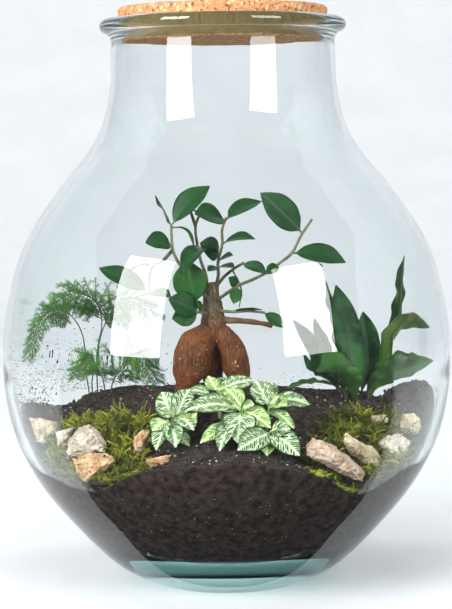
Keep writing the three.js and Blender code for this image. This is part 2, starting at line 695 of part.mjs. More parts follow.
const NEST_STALK = [1.2, 0.84];
const STALK_SIDES = 4;
const NEST_STALK_SHARE = 0.16;
const NEST_FRONDS = {
  nest_frond_tall: {
    spine: [[88, 43, 106.5], [89, 46, 130.5], [86, 50, 160.5], [78, 54, 193.5]],
    width: 20, facing: [-0.1, -0.95, 0.3], wave: 1.2,
  },
  nest_frond_tall_back: {
    spine: [[84, 53, 106.5], [84, 57, 130.5], [80, 60, 162.5], [71, 62, 196.5]],
    width: 12, facing: [-0.8, -0.55, 0.2], wave: 1,
  },
  nest_frond_middle: {
    spine: [[96, 54, 106.5], [99, 58, 128.5], [101, 62, 150.5], [98, 64, 173.5]],
    width: 19, facing: [0, -0.95, 0.3], wave: 0.9,
  },
  nest_frond_right: {
    spine: [[98, 49, 106.5], [107, 51, 130.5], [115, 48, 152.5], [124, 37, 167.5], [140, 12, 167]],
    width: 17, facing: [-0.6, -0.5, 0.6], wave: 1.3,
  },
  nest_frond_far_right: {
    spine: [
      [104, 66, 106.5], [110, 71, 130.5], [117, 67, 150.5], [122, 59, 167.5], [123, 45, 182.5],
      [122, 28, 198.5], [122, 9, 216.5],
    ],
    width: 11, facing: [-0.6, -0.75, 0.2], wave: 1.3,
  },
  nest_frond_low_right: {
    spine: [[97, 36, 106.5], [105, 30, 124.5], [116, 20, 136.5], [129, 7, 142], [139.5, -5, 147]],
    width: 27, facing: [-0.3, -0.85, 0.45], wave: 1.1,
  },
  nest_frond_front: {
    spine: [[91, 34, 106.5], [87, 27, 124.5], [80, 19, 137.5], [71, 12, 143.5], [61, 8, 141.5]],
    width: 22, facing: [-0.3, -0.75, 0.6], wave: 0.8,
  },
  nest_frond_left: {
    spine: [[85, 38, 110.5], [81, 37, 119.5], [73, 34, 127.5], [62, 30, 137.5], [53, 27, 147.5]],
    width: 11, facing: [-0.4, -0.4, 0.8], wave: 0.9,
  },
  nest_frond_back_left: {
    spine: [[81, 47, 108.5], [76, 48, 128.5], [70, 50, 148.5], [62, 50, 170.5]],
    width: 12, facing: [-0.5, -0.8, 0.3], wave: 0.9,
  },
  nest_frond_far_left: {
    spine: [[82, 59, 106.5], [73, 64, 130.5], [61, 68, 150.5], [48, 70, 167.5]],
    width: 12, facing: [-0.3, -0.7, 0.6], wave: 0.9,
  },
  nest_frond_low_left: {
    spine: [[84, 30, 109.5], [79, 27, 119.5], [69, 20, 126.5], [55, 11, 129.5], [40, 2, 124.5]],
    width: 12, facing: [-0.1, -0.4, 0.9], wave: 0.6,
  },
};

// Asparagus fern: wiry stems that arch over into flat sprays, whose side branches are combed with
// fine needles. A spray starts at the share given by from, reach is its longest side branch and
// facing is the way its upper side looks.

const ASPARAGUS_STEM = [1.1, 0.9, 0.7, 0.6];
const BRANCH_STEP = 7.8;
const BRANCH_HALF_WIDTH = 0.5;
const BRANCH_LEAN = 0.8;
const BRANCH_SAG = 0.12;
const NEEDLE_STEP = 4.7;
const NEEDLE_WIDTH = 1.2;
const NEEDLE_REACH = 4.4;
const NEEDLE_LEAN = 3.4;
const ASPARAGUS_FRONDS = {
  asparagus_frond_far_left: {
    stem: [
      [-100, 70, 98], [-101, 68, 130], [-103, 63, 159], [-108, 57, 171], [-115, 47, 178],
      [-123, 35, 179], [-130, 21, 171], [-135, 6, 153],
    ],
    from: 0.56, reach: 14, facing: [-0.1, -0.8, 0.6],
  },
  asparagus_frond_upper_left: {
    stem: [
      [-94, 64, 98], [-93, 65, 131], [-92, 65, 152], [-89, 64, 166], [-91, 56, 181], [-99, 47, 189],
      [-110, 38, 190], [-120, 30, 184],
    ],
    from: 0.58, reach: 20, facing: [-0.1, -0.75, 0.65],
  },
  asparagus_frond_upper_right: {
    stem: [
      [-99, 78, 98], [-98, 78, 124], [-94, 76, 144], [-89, 73, 162], [-80, 66, 178], [-70, 58, 185],
      [-59, 50, 184], [-51, 44, 175],
    ],
    from: 0.56, reach: 19, facing: [0.1, -0.75, 0.65],
  },
  asparagus_frond_low_right: {
    stem: [
      [-85, 57, 98], [-80, 55, 130], [-72, 49, 143], [-63, 42, 148], [-54, 35, 143], [-48, 29, 130],
    ],
    from: 0.5, reach: 15, facing: [0.25, -0.7, 0.65],
  },
  asparagus_frond_low_left: {
    stem: [
      [-88, 62, 98], [-88, 52, 130], [-91, 42, 144], [-96, 32, 149], [-101, 22, 145], [-104, 16, 135],
    ],
    from: 0.52, reach: 14, facing: [-0.2, -0.7, 0.7],
  },
};

// A side branch as a flat comb of needles, from the origin along +X in the XY plane, sagging.
function combedBranch(size) {
  const outline = [[0, -BRANCH_HALF_WIDTH]];
  const needles = Math.max(2, Math.round((size - 2) / NEEDLE_STEP));
  const pitch = (size - 1.5) / needles;
  const needle = (i, side) => {
    const root = 1 + i * pitch;
    return [
      [root, side * BRANCH_HALF_WIDTH],
      [root + NEEDLE_LEAN, side * NEEDLE_REACH * (1 - (0.35 * i) / needles)],
      [root + NEEDLE_WIDTH, side * BRANCH_HALF_WIDTH],
    ];
  };
  for (let i = 0; i < needles; i += 1) outline.push(...needle(i, -1));
  outline.push([size + 2.5, 0]);
  for (let i = needles - 1; i >= 0; i -= 1) outline.push(...needle(i, 1).reverse());
  outline.push([0, BRANCH_HALF_WIDTH]);
  const shape = new THREE.Shape(outline.map(([x, y]) => new THREE.Vector2(x, y)));
  const comb = new THREE.ExtrudeGeometry(shape, { depth: BLADE, bevelEnabled: false });
  comb.translate(0, 0, -BLADE / 2);
  const spots = comb.attributes.position;
  for (let i = 0; i < spots.count; i += 1) {
    spots.setZ(i, spots.getZ(i) - BRANCH_SAG * size * (spots.getX(i) / size) ** 2);
  }
  return comb;
}

function asparagusFrond({ stem, from, reach, facing }) {
  const curve = curveThrough(stem);
  const bodies = [limb(stem, ASPARAGUS_STEM, STALK_SIDES)];
  const count = Math.round((curve.getLength() * (1 - from)) / BRANCH_STEP);
  for (let i = 0; i < count; i += 1) {
    const share = from + ((1 - from) * i) / (count - 0.6);
    const tangent = curve.getTangentAt(share);
    const side = vec(facing).cross(tangent).normalize().multiplyScalar(i % 2 ? 1 : -1);
    const heading = side.addScaledVector(tangent, BRANCH_LEAN).normalize();
    const across = vec(facing).cross(heading).normalize();
    const turned = new THREE.Matrix4().makeBasis(heading, across, heading.clone().cross(across));
    const branch = combedBranch(reach * (1 - (0.6 * i) / count)).applyMatrix4(turned);
    const root = onTwigs([stem], curve.getPointAt(share).toArray());
    bodies.push(solid(branch.translate(...root)));
  }
  return joined(bodies);
}

// A leafy spray: its twigs and leaves in one body.
function spray({ twigs, leaves }, radii, sides, kind, shape) {
  return joined([
    ...twigs.map((points) => limb(points, radii, sides)),
    ...leaves.map(([base, ...row]) => leaf([onTwigs(twigs, base), ...row], kind, shape)),
  ]);
}

function nestStalk(spine, grow = 0) {
  const curve = curveThrough(spine);
  const points = [0, 0.5, 1].map((t) => curve.getPointAt(t * NEST_STALK_SHARE).toArray());
  return limb(points, NEST_STALK, STALK_SIDES, grow);
}

function nestFrond({ spine, width, facing, wave }) {
  return joined([
    nestStalk(spine),
    blade(spine, width, facing, 'nest', { fold: 0.2, wave, waves: 3.5 }),
  ]);
}

// Assembly

const terrarium = new THREE.Group();
const add = (...row) => terrarium.add(named(...row));

const ficusHoles = Object.values(FICUS_SPRAYS)
  .flatMap(({ twigs }) => twigs.map((points) => limb(points, TWIG_RADII, TWIG_SIDES, GAP)));
const trunk = joined(FICUS_WOOD.map(({ through, radii, sides }) => limb(through, radii, sides)));
const rootHole = FICUS_WOOD.slice(1, 4)
  .map(({ through, radii, sides }) => limb(through, radii, sides, GAP));

const stoneHoles = STONES.map((row) => stone(row, GAP));
const fittoniaHoles = Object.values(FITTONIA_STEMS)
  .map(({ twigs }) => limb(twigs[0], FITTONIA_RADII, TWIG_SIDES, GAP));
const nestHoles = Object.values(NEST_FRONDS).map(({ spine }) => nestStalk(spine, GAP));
const asparagusHoles = Object.values(ASPARAGUS_FRONDS)
  .map(({ stem }) => limb(stem, ASPARAGUS_STEM, STALK_SIDES, GAP));
const plantHoles = [...rootHole, ...fittoniaHoles, ...nestHoles, ...asparagusHoles];
const bedHoles = wasm.Manifold.union([...stoneHoles, ...plantHoles]);

const soil = soilBed();
const mossSide = soilSide.map(([r, z]) => [Math.max(r - 3 * GAP, 0), z]);
const mossRoom = lathe([...mossSide, [0, mossSide[mossSide.length - 1][1]]]);
const bed = mainBody(soil.subtract(bedHoles));
const raisedSoil = soil.translate(0, 0, GAP);

const jar = glassJar();
const clear = { transparent: true, opacity: 0.35 };
add('glass_bowl', below(jar, BOWL_TOP), COLOURS.glass, 0.05, clear);
add('glass_shoulder', above(below(jar, SHOULDER_TOP), BOWL_TOP + GAP), COLOURS.glass, 0.05, clear);
add('glass_neck', above(jar, SHOULDER_TOP + GAP), COLOURS.glass, 0.05, clear);
add('cork_lid', corkLid(), COLOURS.cork, 0.9);
add('potting_soil', bed, COLOURS.soil, 1);
MOSS.forEach((row) => {
  const mat = mossMat(row).intersect(mossRoom).subtract(raisedSoil);
  add(row.name, mainBody(mat.subtract(bedHoles)), COLOURS.moss, 1);
});
STONES.forEach((row) => add(row.name, stone(row), row.colour, 0.85));
add('ficus_trunk', mainBody(trunk.subtract(wasm.Manifold.union(ficusHoles))), COLOURS.root, 0.7);
Object.entries(FICUS_SPRAYS).forEach(([name, row]) => {
  add(name, spray(row, TWIG_RADII, TWIG_SIDES, 'ficus', { fold: 0.2 }), COLOURS.ficus, 0.35);
});
Object.entries(FITTONIA_STEMS).forEach(([name, row]) => {
  add(name, spray(row, FITTONIA_RADII, TWIG_SIDES, 'fittonia', { fold: 0.15 }), COLOURS.fittonia, 0.6);
});
Object.entries(NEST_FRONDS).forEach(([name, row]) => add(name, nestFrond(row), COLOURS.nest, 0.4));
Object.entries(ASPARAGUS_FRONDS).forEach(([name, row]) => {
  add(name, asparagusFrond(row), COLOURS.asparagus, 0.6);
});

export default terrarium;
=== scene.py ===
# Glass plant terrarium, dressed: clear jar, cork lid, soil, moss, stones, ginseng ficus, fittonia,
# asparagus fern and bird's-nest fern, with their finishes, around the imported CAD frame.
# Shapes are worked out in millimetres, as in the part's source, and written in metres.

import math
import random

import bpy
import numpy as np
from mathutils import Matrix, Vector, noise


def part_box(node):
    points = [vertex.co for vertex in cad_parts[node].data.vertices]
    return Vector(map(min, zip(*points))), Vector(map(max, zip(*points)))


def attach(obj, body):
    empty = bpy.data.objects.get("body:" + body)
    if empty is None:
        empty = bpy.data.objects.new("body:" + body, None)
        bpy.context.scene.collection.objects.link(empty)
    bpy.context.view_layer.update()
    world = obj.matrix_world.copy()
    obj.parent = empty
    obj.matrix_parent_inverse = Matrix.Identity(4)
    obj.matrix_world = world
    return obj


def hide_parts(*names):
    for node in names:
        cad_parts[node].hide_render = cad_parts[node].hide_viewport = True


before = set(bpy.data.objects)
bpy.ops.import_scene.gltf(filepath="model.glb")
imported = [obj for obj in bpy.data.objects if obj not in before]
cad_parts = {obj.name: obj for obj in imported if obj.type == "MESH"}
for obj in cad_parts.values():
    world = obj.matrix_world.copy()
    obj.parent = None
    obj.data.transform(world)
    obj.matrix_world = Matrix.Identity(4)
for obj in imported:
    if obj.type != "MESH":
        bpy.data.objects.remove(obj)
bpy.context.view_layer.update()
MM = 0.001
UP = np.array([0.0, 0.0, 1.0])

# Curves

def catmull_rom(points, shares):
    """Places on the centripetal Catmull-Rom curve through the points, at shares of its spans."""
    points = np.asarray(points, float)
    padded = np.vstack([2 * points[0] - points[1], points, 2 * points[-1] - points[-2]])
    spans = len(points) - 1
    place = np.clip(np.asarray(shares, float) * spans, 0, spans)
    first = np.minimum(place.astype(int), spans - 1)
    weight = (place - first)[:, None]
    before, start, end, after = (padded[first + k] for k in range(4))

    def knot(a, b):
        return np.maximum(np.sqrt(np.linalg.norm(b - a, axis=1)), 1e-4)[:, None]

    d0, d1, d2 = knot(before, start), knot(start, end), knot(end, after)
    leave = ((start - before) / d0 - (end - before) / (d0 + d1) + (end - start) / d1) * d1
    arrive = ((end - start) / d1 - (after - start) / (d1 + d2) + (after - end) / d2) * d1
    square = -3 * start + 3 * end - 2 * leave - arrive
    cube = 2 * start - 2 * end + leave + arrive
    return start + leave * weight + square * weight**2 + cube * weight**3


class Path:
    """A curve through points, read by shares of its length."""

    def __init__(self, points, fineness=240):
        self.spots = catmull_rom(points, np.linspace(0, 1, fineness + 1))
        steps = np.linalg.norm(np.diff(self.spots, axis=0), axis=1)
        self.reach = np.concatenate([[0], np.cumsum(steps)])
        self.length = self.reach[-1]

    def at(self, shares):
        where = np.atleast_1d(shares) * self.length
        return np.stack([np.interp(where, self.reach, axis) for axis in self.spots.T], axis=1)

    def heading(self, shares):
        shares = np.atleast_1d(shares)
        ahead = self.at(np.minimum(shares + 0.004, 1)) - self.at(np.maximum(shares - 0.004, 0))
        return unit(ahead)


def unit(vectors):
    vectors = np.asarray(vectors, float)
    return vectors / np.maximum(np.linalg.norm(vectors, axis=-1, keepdims=True), 1e-9)


def nearest_place(paths, point):
    """The place on the paths nearest to a point."""
    spots = np.vstack([path.spots for path in paths])
    return spots[np.argmin(np.linalg.norm(spots - np.asarray(point, float), axis=1))]


# Meshes

class Shape:
    """Points, faces and point values of a piece, gathered from its parts."""

    def __init__(self):
        self.points, self.faces, self.kinds = [], [], []
        self.values = {}
        self.count = 0

    def add(self, points, faces, kind=0, **values):
        points = np.asarray(points, float)
        offset = self.count
        self.points.append(points)
        self.faces.extend(tuple(i + offset for i in face) for face in faces)
        self.kinds.extend([kind] * len(faces))
        for name in sorted(set(self.values) | set(values)):
            rows = self.values.setdefault(name, [np.zeros(offset)] if offset else [])
            rows.append(np.broadcast_to(values.get(name, 0.0), len(points)).astype(float))
        self.count += len(points)

    def add_tube(self, points, radii, sides, kind=0, **values):
        self.add(*tube(points, radii, sides), kind, **values)

    def build(self, name, materials, smooth=True):
        mesh = bpy.data.meshes.new(name)
        mesh.from_pydata((np.vstack(self.points) * MM).tolist(), [], self.faces)
        for key, rows in self.values.items():
            layer = mesh.attributes.new(key, "FLOAT", "POINT")
            layer.data.foreach_set("value", np.concatenate(rows).astype(np.float32))
        piece = bpy.data.objects.new(name, mesh)
        bpy.context.scene.collection.objects.link(piece)
        for material in materials:
            mesh.materials.append(material)
        mesh.polygons.foreach_set("material_index", self.kinds)
        mesh.polygons.foreach_set("use_smooth", [smooth] * len(mesh.polygons))
        mesh.update()
        return piece


def ring_quads(rings, sides):
    """Quads between closed rings of points, ring after ring."""
    faces = []
    for i in range(rings - 1):
        for j in range(sides):
            a, b = i * sides + j, i * sides + (j + 1) % sides
            faces.append((a, b, b + sides, a + sides))
    return faces


def tube(points, radii, sides):
    """A round tube along points, with closed ends."""
    points = np.asarray(points, float)
    tangents = unit(np.gradient(points, axis=0))
    normal = np.array([1.0, 0.2, 0.1])
    turns = np.linspace(0, 2 * np.pi, sides, endpoint=False)
    rings = []
    for point, tangent, radius in zip(points, tangents, radii):
        normal = unit(normal - tangent * np.dot(normal, tangent))
        across = np.cross(tangent, normal)
        rings.append(point + radius * (np.outer(np.cos(turns), normal) + np.outer(np.sin(turns), across)))
    faces = ring_quads(len(points), sides)
    last = (len(points) - 1) * sides
    faces.append(tuple(range(sides - 1, -1, -1)))
    faces.append(tuple(range(last, last + sides)))
    return np.vstack(rings), faces


def lathe(profile, segments):
    """A body turned round the Z axis from a profile that starts and ends on it."""
    profile = np.asarray(profile, float)
    turns = np.linspace(0, 2 * np.pi, segments, endpoint=False)
    middle = profile[1:-1]
    rings = [np.stack([r * np.cos(turns), r * np.sin(turns), np.full(segments, z)], 1) for r, z in middle]
    points = np.vstack([*rings, [[0, 0, profile[0][1]]], [[0, 0, profile[-1][1]]]])
    faces = ring_quads(len(middle), segments)
    low, high = len(middle) * segments, len(middle) * segments + 1
    last = (len(middle) - 1) * segments
    for j in range(segments):
        faces.append((low, (j + 1) % segments, j))
        faces.append((high, last + j, last + (j + 1) % segments))
    return points, faces


def smoothed(name, shape, voxel, rounds, materials):
    """A piece whose overlapping closed parts are fused into one skin and smoothed."""
    rough = shape.build(name + "_rough", [])
    fuse = rough.modifiers.new("fuse", "REMESH")
    fuse.mode = "VOXEL"
    fuse.voxel_size = voxel * MM
    soften = rough.modifiers.new("soften", "SMOOTH")
    soften.factor = 0.5
    soften.iterations = rounds
    mesh = bpy.data.meshes.new_from_object(rough.evaluated_get(bpy.context.evaluated_depsgraph_get()))
    bpy.data.objects.remove(rough)
    mesh.name = name
    piece = bpy.data.objects.new(name, mesh)
    bpy.context.scene.collection.objects.link(piece)
    mesh.materials.clear()
    for material in materials:
        mesh.materials.append(material)
    mesh.polygons.foreach_set("use_smooth", [True] * len(mesh.polygons))
    return piece


def push_out(piece, depth_at):
    """Moves each point of a piece along its normal by depth_at(place, normal), in millimetres."""
    mesh = piece.data
    moved = [v.co + v.normal * depth_at(v.co / MM, v.normal) * MM for v in mesh.vertices]
    mesh.vertices.foreach_set("co", np.array(moved, np.float32).ravel())
    mesh.update()


def place(piece, slot, *nodes):
    """Puts a finished piece on the part: it takes the place of the CAD nodes named."""
    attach(piece, "root")
    if nodes:
        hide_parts(*nodes)


# Shader building

class Shader:
    """Short calls for the nodes of one material or group."""

    def __init__(self, tree):
        self.tree = tree

    def node(self, kind, settings=None, **inputs):
        made = self.tree.nodes.new("ShaderNode" + kind)
        for key, value in (settings or {}).items():
            setattr(made, key, value)
        for key, value in inputs.items():
            self.feed(made.inputs[key.replace("_", " ")], value)
        return made

    def feed(self, socket, value):
        if isinstance(value, bpy.types.NodeSocket):
            self.tree.links.new(value, socket)
        elif socket.type == "RGBA" and len(value) == 3:
            socket.default_value = (*value, 1)
        else:
            socket.default_value = value

    def math(self, operation, *values):
        made = self.tree.nodes.new("ShaderNodeMath")
        made.operation = operation
        for socket, value in zip(made.inputs, values):
            self.feed(socket, value)
        return made.outputs[0]

    def mix(self, factor, low, high):
        made = self.node("Mix", {"data_type": "RGBA", "clamp_factor": True})
        self.feed(made.inputs[0], factor)
        self.feed(made.inputs[6], low)
        self.feed(made.inputs[7], high)
        return made.outputs[2]

    def fade(self, value, low, high):
        """0 below low and 1 above high, with a soft step between."""
        made = self.node("MapRange", {"interpolation_type": "SMOOTHSTEP", "clamp": True})
        for key, number in (("Value", value), ("From Min", low), ("From Max", high)):
            self.feed(made.inputs[key], number)
        return made.outputs[0]

    def attribute(self, name):
        return self.node("Attribute", {"attribute_name": name}).outputs["Fac"]

    def place(self, scale=(1, 1, 1)):
        """The place on the object in millimetres, stretched."""
        coordinates = self.node("TexCoord").outputs["Object"]
        made = self.node("Mapping", Vector=coordinates, Scale=tuple(s / MM for s in scale))
        return made.outputs[0]

    def noise(self, vector, scale, detail=3.0, roughness=0.55):
        made = self.node("TexNoise", Vector=vector, Scale=scale, Detail=detail, Roughness=roughness)
        return made.outputs["Fac"]


def group(name, inputs, outputs, build):
    """A shader node group with named sockets, built once."""
    tree = bpy.data.node_groups.new(name, "ShaderNodeTree")
    for label, kind, value in inputs:
        socket = tree.interface.new_socket(label, in_out="INPUT", socket_type="NodeSocket" + kind)
        socket.default_value = value
    for label, kind in outputs:
        tree.interface.new_socket(label, in_out="OUTPUT", socket_type="NodeSocket" + kind)
    into = tree.nodes.new("NodeGroupInput")
    out = tree.nodes.new("NodeGroupOutput")
    shader = Shader(tree)
    for label, socket in build(shader, into.outputs).items():
        tree.links.new(socket, out.inputs[label])
    return tree


def build_mottle(s, given):
    """Two colours that run into each other in soft clouds."""
    factor = s.fade(s.noise(s.place(), given["Scale"], 5.0), 0.3, 0.7)
    return {"Colour": s.mix(factor, given["Dark"], given["Light"])}


def build_specks(s, given):
    """Scattered round specks of many sizes."""
    cells = s.node("TexVoronoi", {"feature": "F1"}, Vector=s.place(), Scale=given["Scale"])
    patch = s.math("MULTIPLY", given["Size"], cells.outputs["Color"])
    spot = s.math("SUBTRACT", patch, cells.outputs["Distance"])
    return {"Mask": s.fade(spot, 0.0, 0.06)}


def build_veins(s, given):
    """Midrib and side veins, from the leaf's own coordinates in millimetres."""
    across, along = s.attribute("across"), s.attribute("along")
    out = s.math("ABSOLUTE", across)
    curved = s.math("MULTIPLY", out, given["Slant"])
    sweep = s.math("SUBTRACT", along, curved)
    drift = s.node("CombineXYZ", X=sweep, Y=across, Z=s.attribute("tint"))
    wander = s.math("MULTIPLY", s.math("SUBTRACT", s.noise(drift.outputs[0], 0.35, 2.0), 0.5), 1.6)
    wave = s.math("FRACT", s.math("DIVIDE", s.math("ADD", sweep, wander), given["Spacing"]))
    away = s.math("MULTIPLY", s.math("ABSOLUTE", s.math("SUBTRACT", wave, 0.5)), given["Spacing"])
    side = s.math("SUBTRACT", 1.0, s.fade(away, s.math("MULTIPLY", given["Width"], 0.5), given["Width"]))
    rib = s.math("SUBTRACT", 1.0, s.fade(out, s.math("MULTIPLY", given["Midrib"], 0.5), given["Midrib"]))
    return {"Midrib": rib, "Side": side}


def build_crust(s, given):
    """A rough fine-grained surface."""
    rough = s.noise(s.place(), given["Scale"], 8.0, 0.65)
    bump = s.node("Bump", Strength=given["Strength"], Distance=given["Depth"], Height=rough)
    return {"Normal": bump.outputs[0], "Value": rough}


MOTTLE = group(
    "Mottle",
    [("Scale", "Float", 0.1), ("Dark", "Color", (0, 0, 0, 1)), ("Light", "Color", (1, 1, 1, 1))],
    [("Colour", "Color")],
    build_mottle,
)
SPECKS = group(
    "Specks", [("Scale", "Float", 0.5), ("Size", "Float", 0.3)], [("Mask", "Float")], build_specks,
)
VEINS = group(
    "Leaf veins",
    [("Spacing", "Float", 2.0), ("Width", "Float", 0.3), ("Midrib", "Float", 0.5), ("Slant", "Float", 1.0)],
    [("Midrib", "Float"), ("Side", "Float")],
    build_veins,
)
CRUST = group(
    "Crust",
    [("Scale", "Float", 1.0), ("Strength", "Float", 0.5), ("Depth", "Float", 0.001)],
    [("Normal", "Vector"), ("Value", "Float")],
    build_crust,
)


def effect(s, tree, **inputs):
    made = s.node("Group", {"node_tree": tree}, **inputs)
    return made.outputs


def finish(name, dress, roughness=0.5, **plain):
    """A material whose surface is one Principled shader: dress(shader) gives its varying inputs."""
    material = bpy.data.materials.new(name)
    material.use_nodes = True
    tree = material.node_tree
    tree.nodes.clear()
    shader = Shader(tree)
    surface = shader.node("BsdfPrincipled", Roughness=roughness, **plain)
    for key, socket in dress(shader).items():
        shader.feed(surface.inputs[key.replace("_", " ")], socket)
    output = shader.node("OutputMaterial")
    tree.links.new(surface.outputs[0], output.inputs["Surface"])
    return material


# Finishes of the pieces

def clear_glass():
    """Clear glass that lets light through to the plants and turns teal where it is thick."""
    material = bpy.data.materials.new("clear_glass")
    material.use_nodes = True
    tree = material.node_tree
    tree.nodes.clear()
    s = Shader(tree)
    solid = s.node(
        "BsdfPrincipled", Base_Color=(0.99, 1.0, 0.998), Roughness=0.0, Metallic=0.0,
        Transmission_Weight=1.0, IOR=1.5,
    )
    open_way = s.node("BsdfTransparent", Color=(0.93, 0.97, 0.96))
    shadow = s.node("LightPath").outputs["Is Shadow Ray"]
    both = s.node("MixShader")
    s.feed(both.inputs[0], shadow)
    tree.links.new(solid.outputs[0], both.inputs[1])
    tree.links.new(open_way.outputs[0], both.inputs[2])
    tint = s.node("VolumeAbsorption", Color=(0.12, 0.80, 0.72), Density=6.5)
    output = s.node("OutputMaterial")
    tree.links.new(both.outputs[0], output.inputs["Surface"])
    tree.links.new(tint.outputs[0], output.inputs["Volume"])
    return material


# Heights at which a dark band of painted shade on the cork, where it sits under the glass lip inside the neck, fades
# in and out again
NECK_SHADE_START, NECK_SHADE_END = (361.7, 363.0), (373.6, 375.6)


def dress_cork(s):
    cells = s.node("TexVoronoi", {"feature": "F1"}, Vector=s.place(), Scale=0.62, Randomness=1.0)
    pick = s.node("SeparateColor", Color=cells.outputs["Color"])
    tan = s.mix(pick.outputs[0], (0.47, 0.205, 0.085), (0.80, 0.40, 0.19))
    dark = s.fade(pick.outputs[1], 0.86, 0.93)
    shade = s.mix(dark, tan, (0.13, 0.05, 0.02))
    pale = s.fade(pick.outputs[2], 0.84, 0.92)
    grain = s.mix(pale, shade, (0.88, 0.62, 0.38))
    fine = effect(s, CRUST, Scale=1.4, Strength=0.6, Depth=0.0012)
    body = s.mix(s.math("MULTIPLY", fine["Value"], 0.5), grain, (0.52, 0.25, 0.11))
    height = s.node("SeparateXYZ", Vector=s.place()).outputs["Z"]
    # Painted shade: the cork is darkened between these heights, where the glass neck and lip shade it
    painted_shade = s.math("SUBTRACT", s.fade(height, *NECK_SHADE_START), s.fade(height, *NECK_SHADE_END))
    with_painted_shade = s.mix(s.math("MULTIPLY", painted_shade, 0.93), body, (0.070, 0.052, 0.016))
    return {"Base Color": with_painted_shade, "Normal": fine["Normal"]}


def dress_soil(s):
    earth = effect(s, MOTTLE, Scale=0.22, Dark=(0.016, 0.010, 0.009), Light=(0.066, 0.045, 0.040))
    specks = effect(s, SPECKS, Scale=0.55, Size=0.22)
    crust = effect(s, CRUST, Scale=0.9, Strength=0.9, Depth=0.002)
    rare = s.math("MULTIPLY", specks["Mask"], s.fade(s.noise(s.place(), 0.06, 1.0), 0.46, 0.6))
    return {"Base Color": s.mix(rare, earth["Colour"], (0.26, 0.22, 0.19)), "Normal": crust["Normal"]}


def dress_crumb(s):
    pale = s.attribute("pale")
    earth = effect(s, MOTTLE, Scale=0.5, Dark=(0.010, 0.008, 0.007), Light=(0.055, 0.042, 0.036))
    return {"Base Color": s.mix(pale, earth["Colour"], (0.34, 0.29, 0.25))}


def dress_moss(s):
    tip = s.attribute("tip")
    tint = s.attribute("tint")
    green = s.mix(tint, (0.095, 0.105, 0.014), (0.50, 0.50, 0.055))
    return {"Base Color": s.mix(tip, (0.022, 0.020, 0.009), green)}


def dress_stone(dark, light):
    def dress(s):
        body = effect(s, MOTTLE, Scale=0.13, Dark=dark, Light=light)
        pits = effect(s, SPECKS, Scale=0.38, Size=0.30)
        crust = effect(s, CRUST, Scale=0.45, Strength=1.0, Depth=0.0034)
        pitted = s.mix(s.math("MULTIPLY", pits["Mask"], 0.75), body["Colour"], tuple(0.42 * c for c in dark))
        return {"Base Color": pitted, "Normal": crust["Normal"]}
    return dress


# Heights between which the red-brown root turns into the grey-brown trunk
ROOT_TO_TRUNK = (172.0, 196.0)


def dress_bark(s):
    height = s.node("SeparateXYZ", Vector=s.place()).outputs["Z"]
    streaks = s.noise(s.place((1.0, 1.0, 0.16)), 0.95, 6.0, 0.68)
    clouds = s.noise(s.place(), 0.07, 3.0)
    both = s.math("ADD", s.math("MULTIPLY", streaks, 0.7), s.math("MULTIPLY", clouds, 0.3))
    root = s.mix(s.fade(both, 0.36, 0.64), (0.028, 0.008, 0.002), (0.165, 0.048, 0.011))
    stem = s.mix(s.fade(both, 0.36, 0.64), (0.040, 0.026, 0.015), (0.17, 0.120, 0.070))
    upper = s.fade(s.math("ADD", height, s.math("MULTIPLY", streaks, 18.0)), *ROOT_TO_TRUNK)
    bark = s.mix(upper, root, stem)
    flecks = effect(s, SPECKS, Scale=0.62, Size=0.30)
    crust = effect(s, CRUST, Scale=0.9, Strength=0.7, Depth=0.0010)
    shown = s.math("MULTIPLY", flecks["Mask"], s.fade(s.noise(s.place(), 0.11, 2.0), 0.42, 0.58))
    marked = s.mix(s.math("MULTIPLY", shown, 0.75), bark, (0.62, 0.42, 0.24))
    return {"Base Color": marked, "Normal": crust["Normal"]}


def dress_ficus_leaf(s):
    veins = effect(s, VEINS, Spacing=2.6, Width=0.22, Midrib=0.32, Slant=0.55)
    tint = s.attribute("tint")
    clouds = s.fade(s.noise(s.place(), 0.10, 2.0), 0.35, 0.65)
    blade = s.mix(tint, s.mix(clouds, (0.003, 0.018, 0.007), (0.008, 0.034, 0.013)), (0.026, 0.105, 0.010))
    ribbed = s.mix(s.math("MULTIPLY", veins["Side"], 0.14), blade, (0.06, 0.17, 0.07))
    ribbed = s.mix(s.math("MULTIPLY", veins["Midrib"], 0.14), ribbed, (0.11, 0.22, 0.09))
    dots = effect(s, SPECKS, Scale=0.42, Size=0.13)
    relief = s.node("Bump", Strength=0.35, Distance=0.0004, Height=s.math("SUBTRACT", 1.0, veins["Side"]))
    return {"Base Color": s.mix(dots["Mask"], ribbed, (0.50, 0.58, 0.52)), "Normal": relief.outputs[0]}


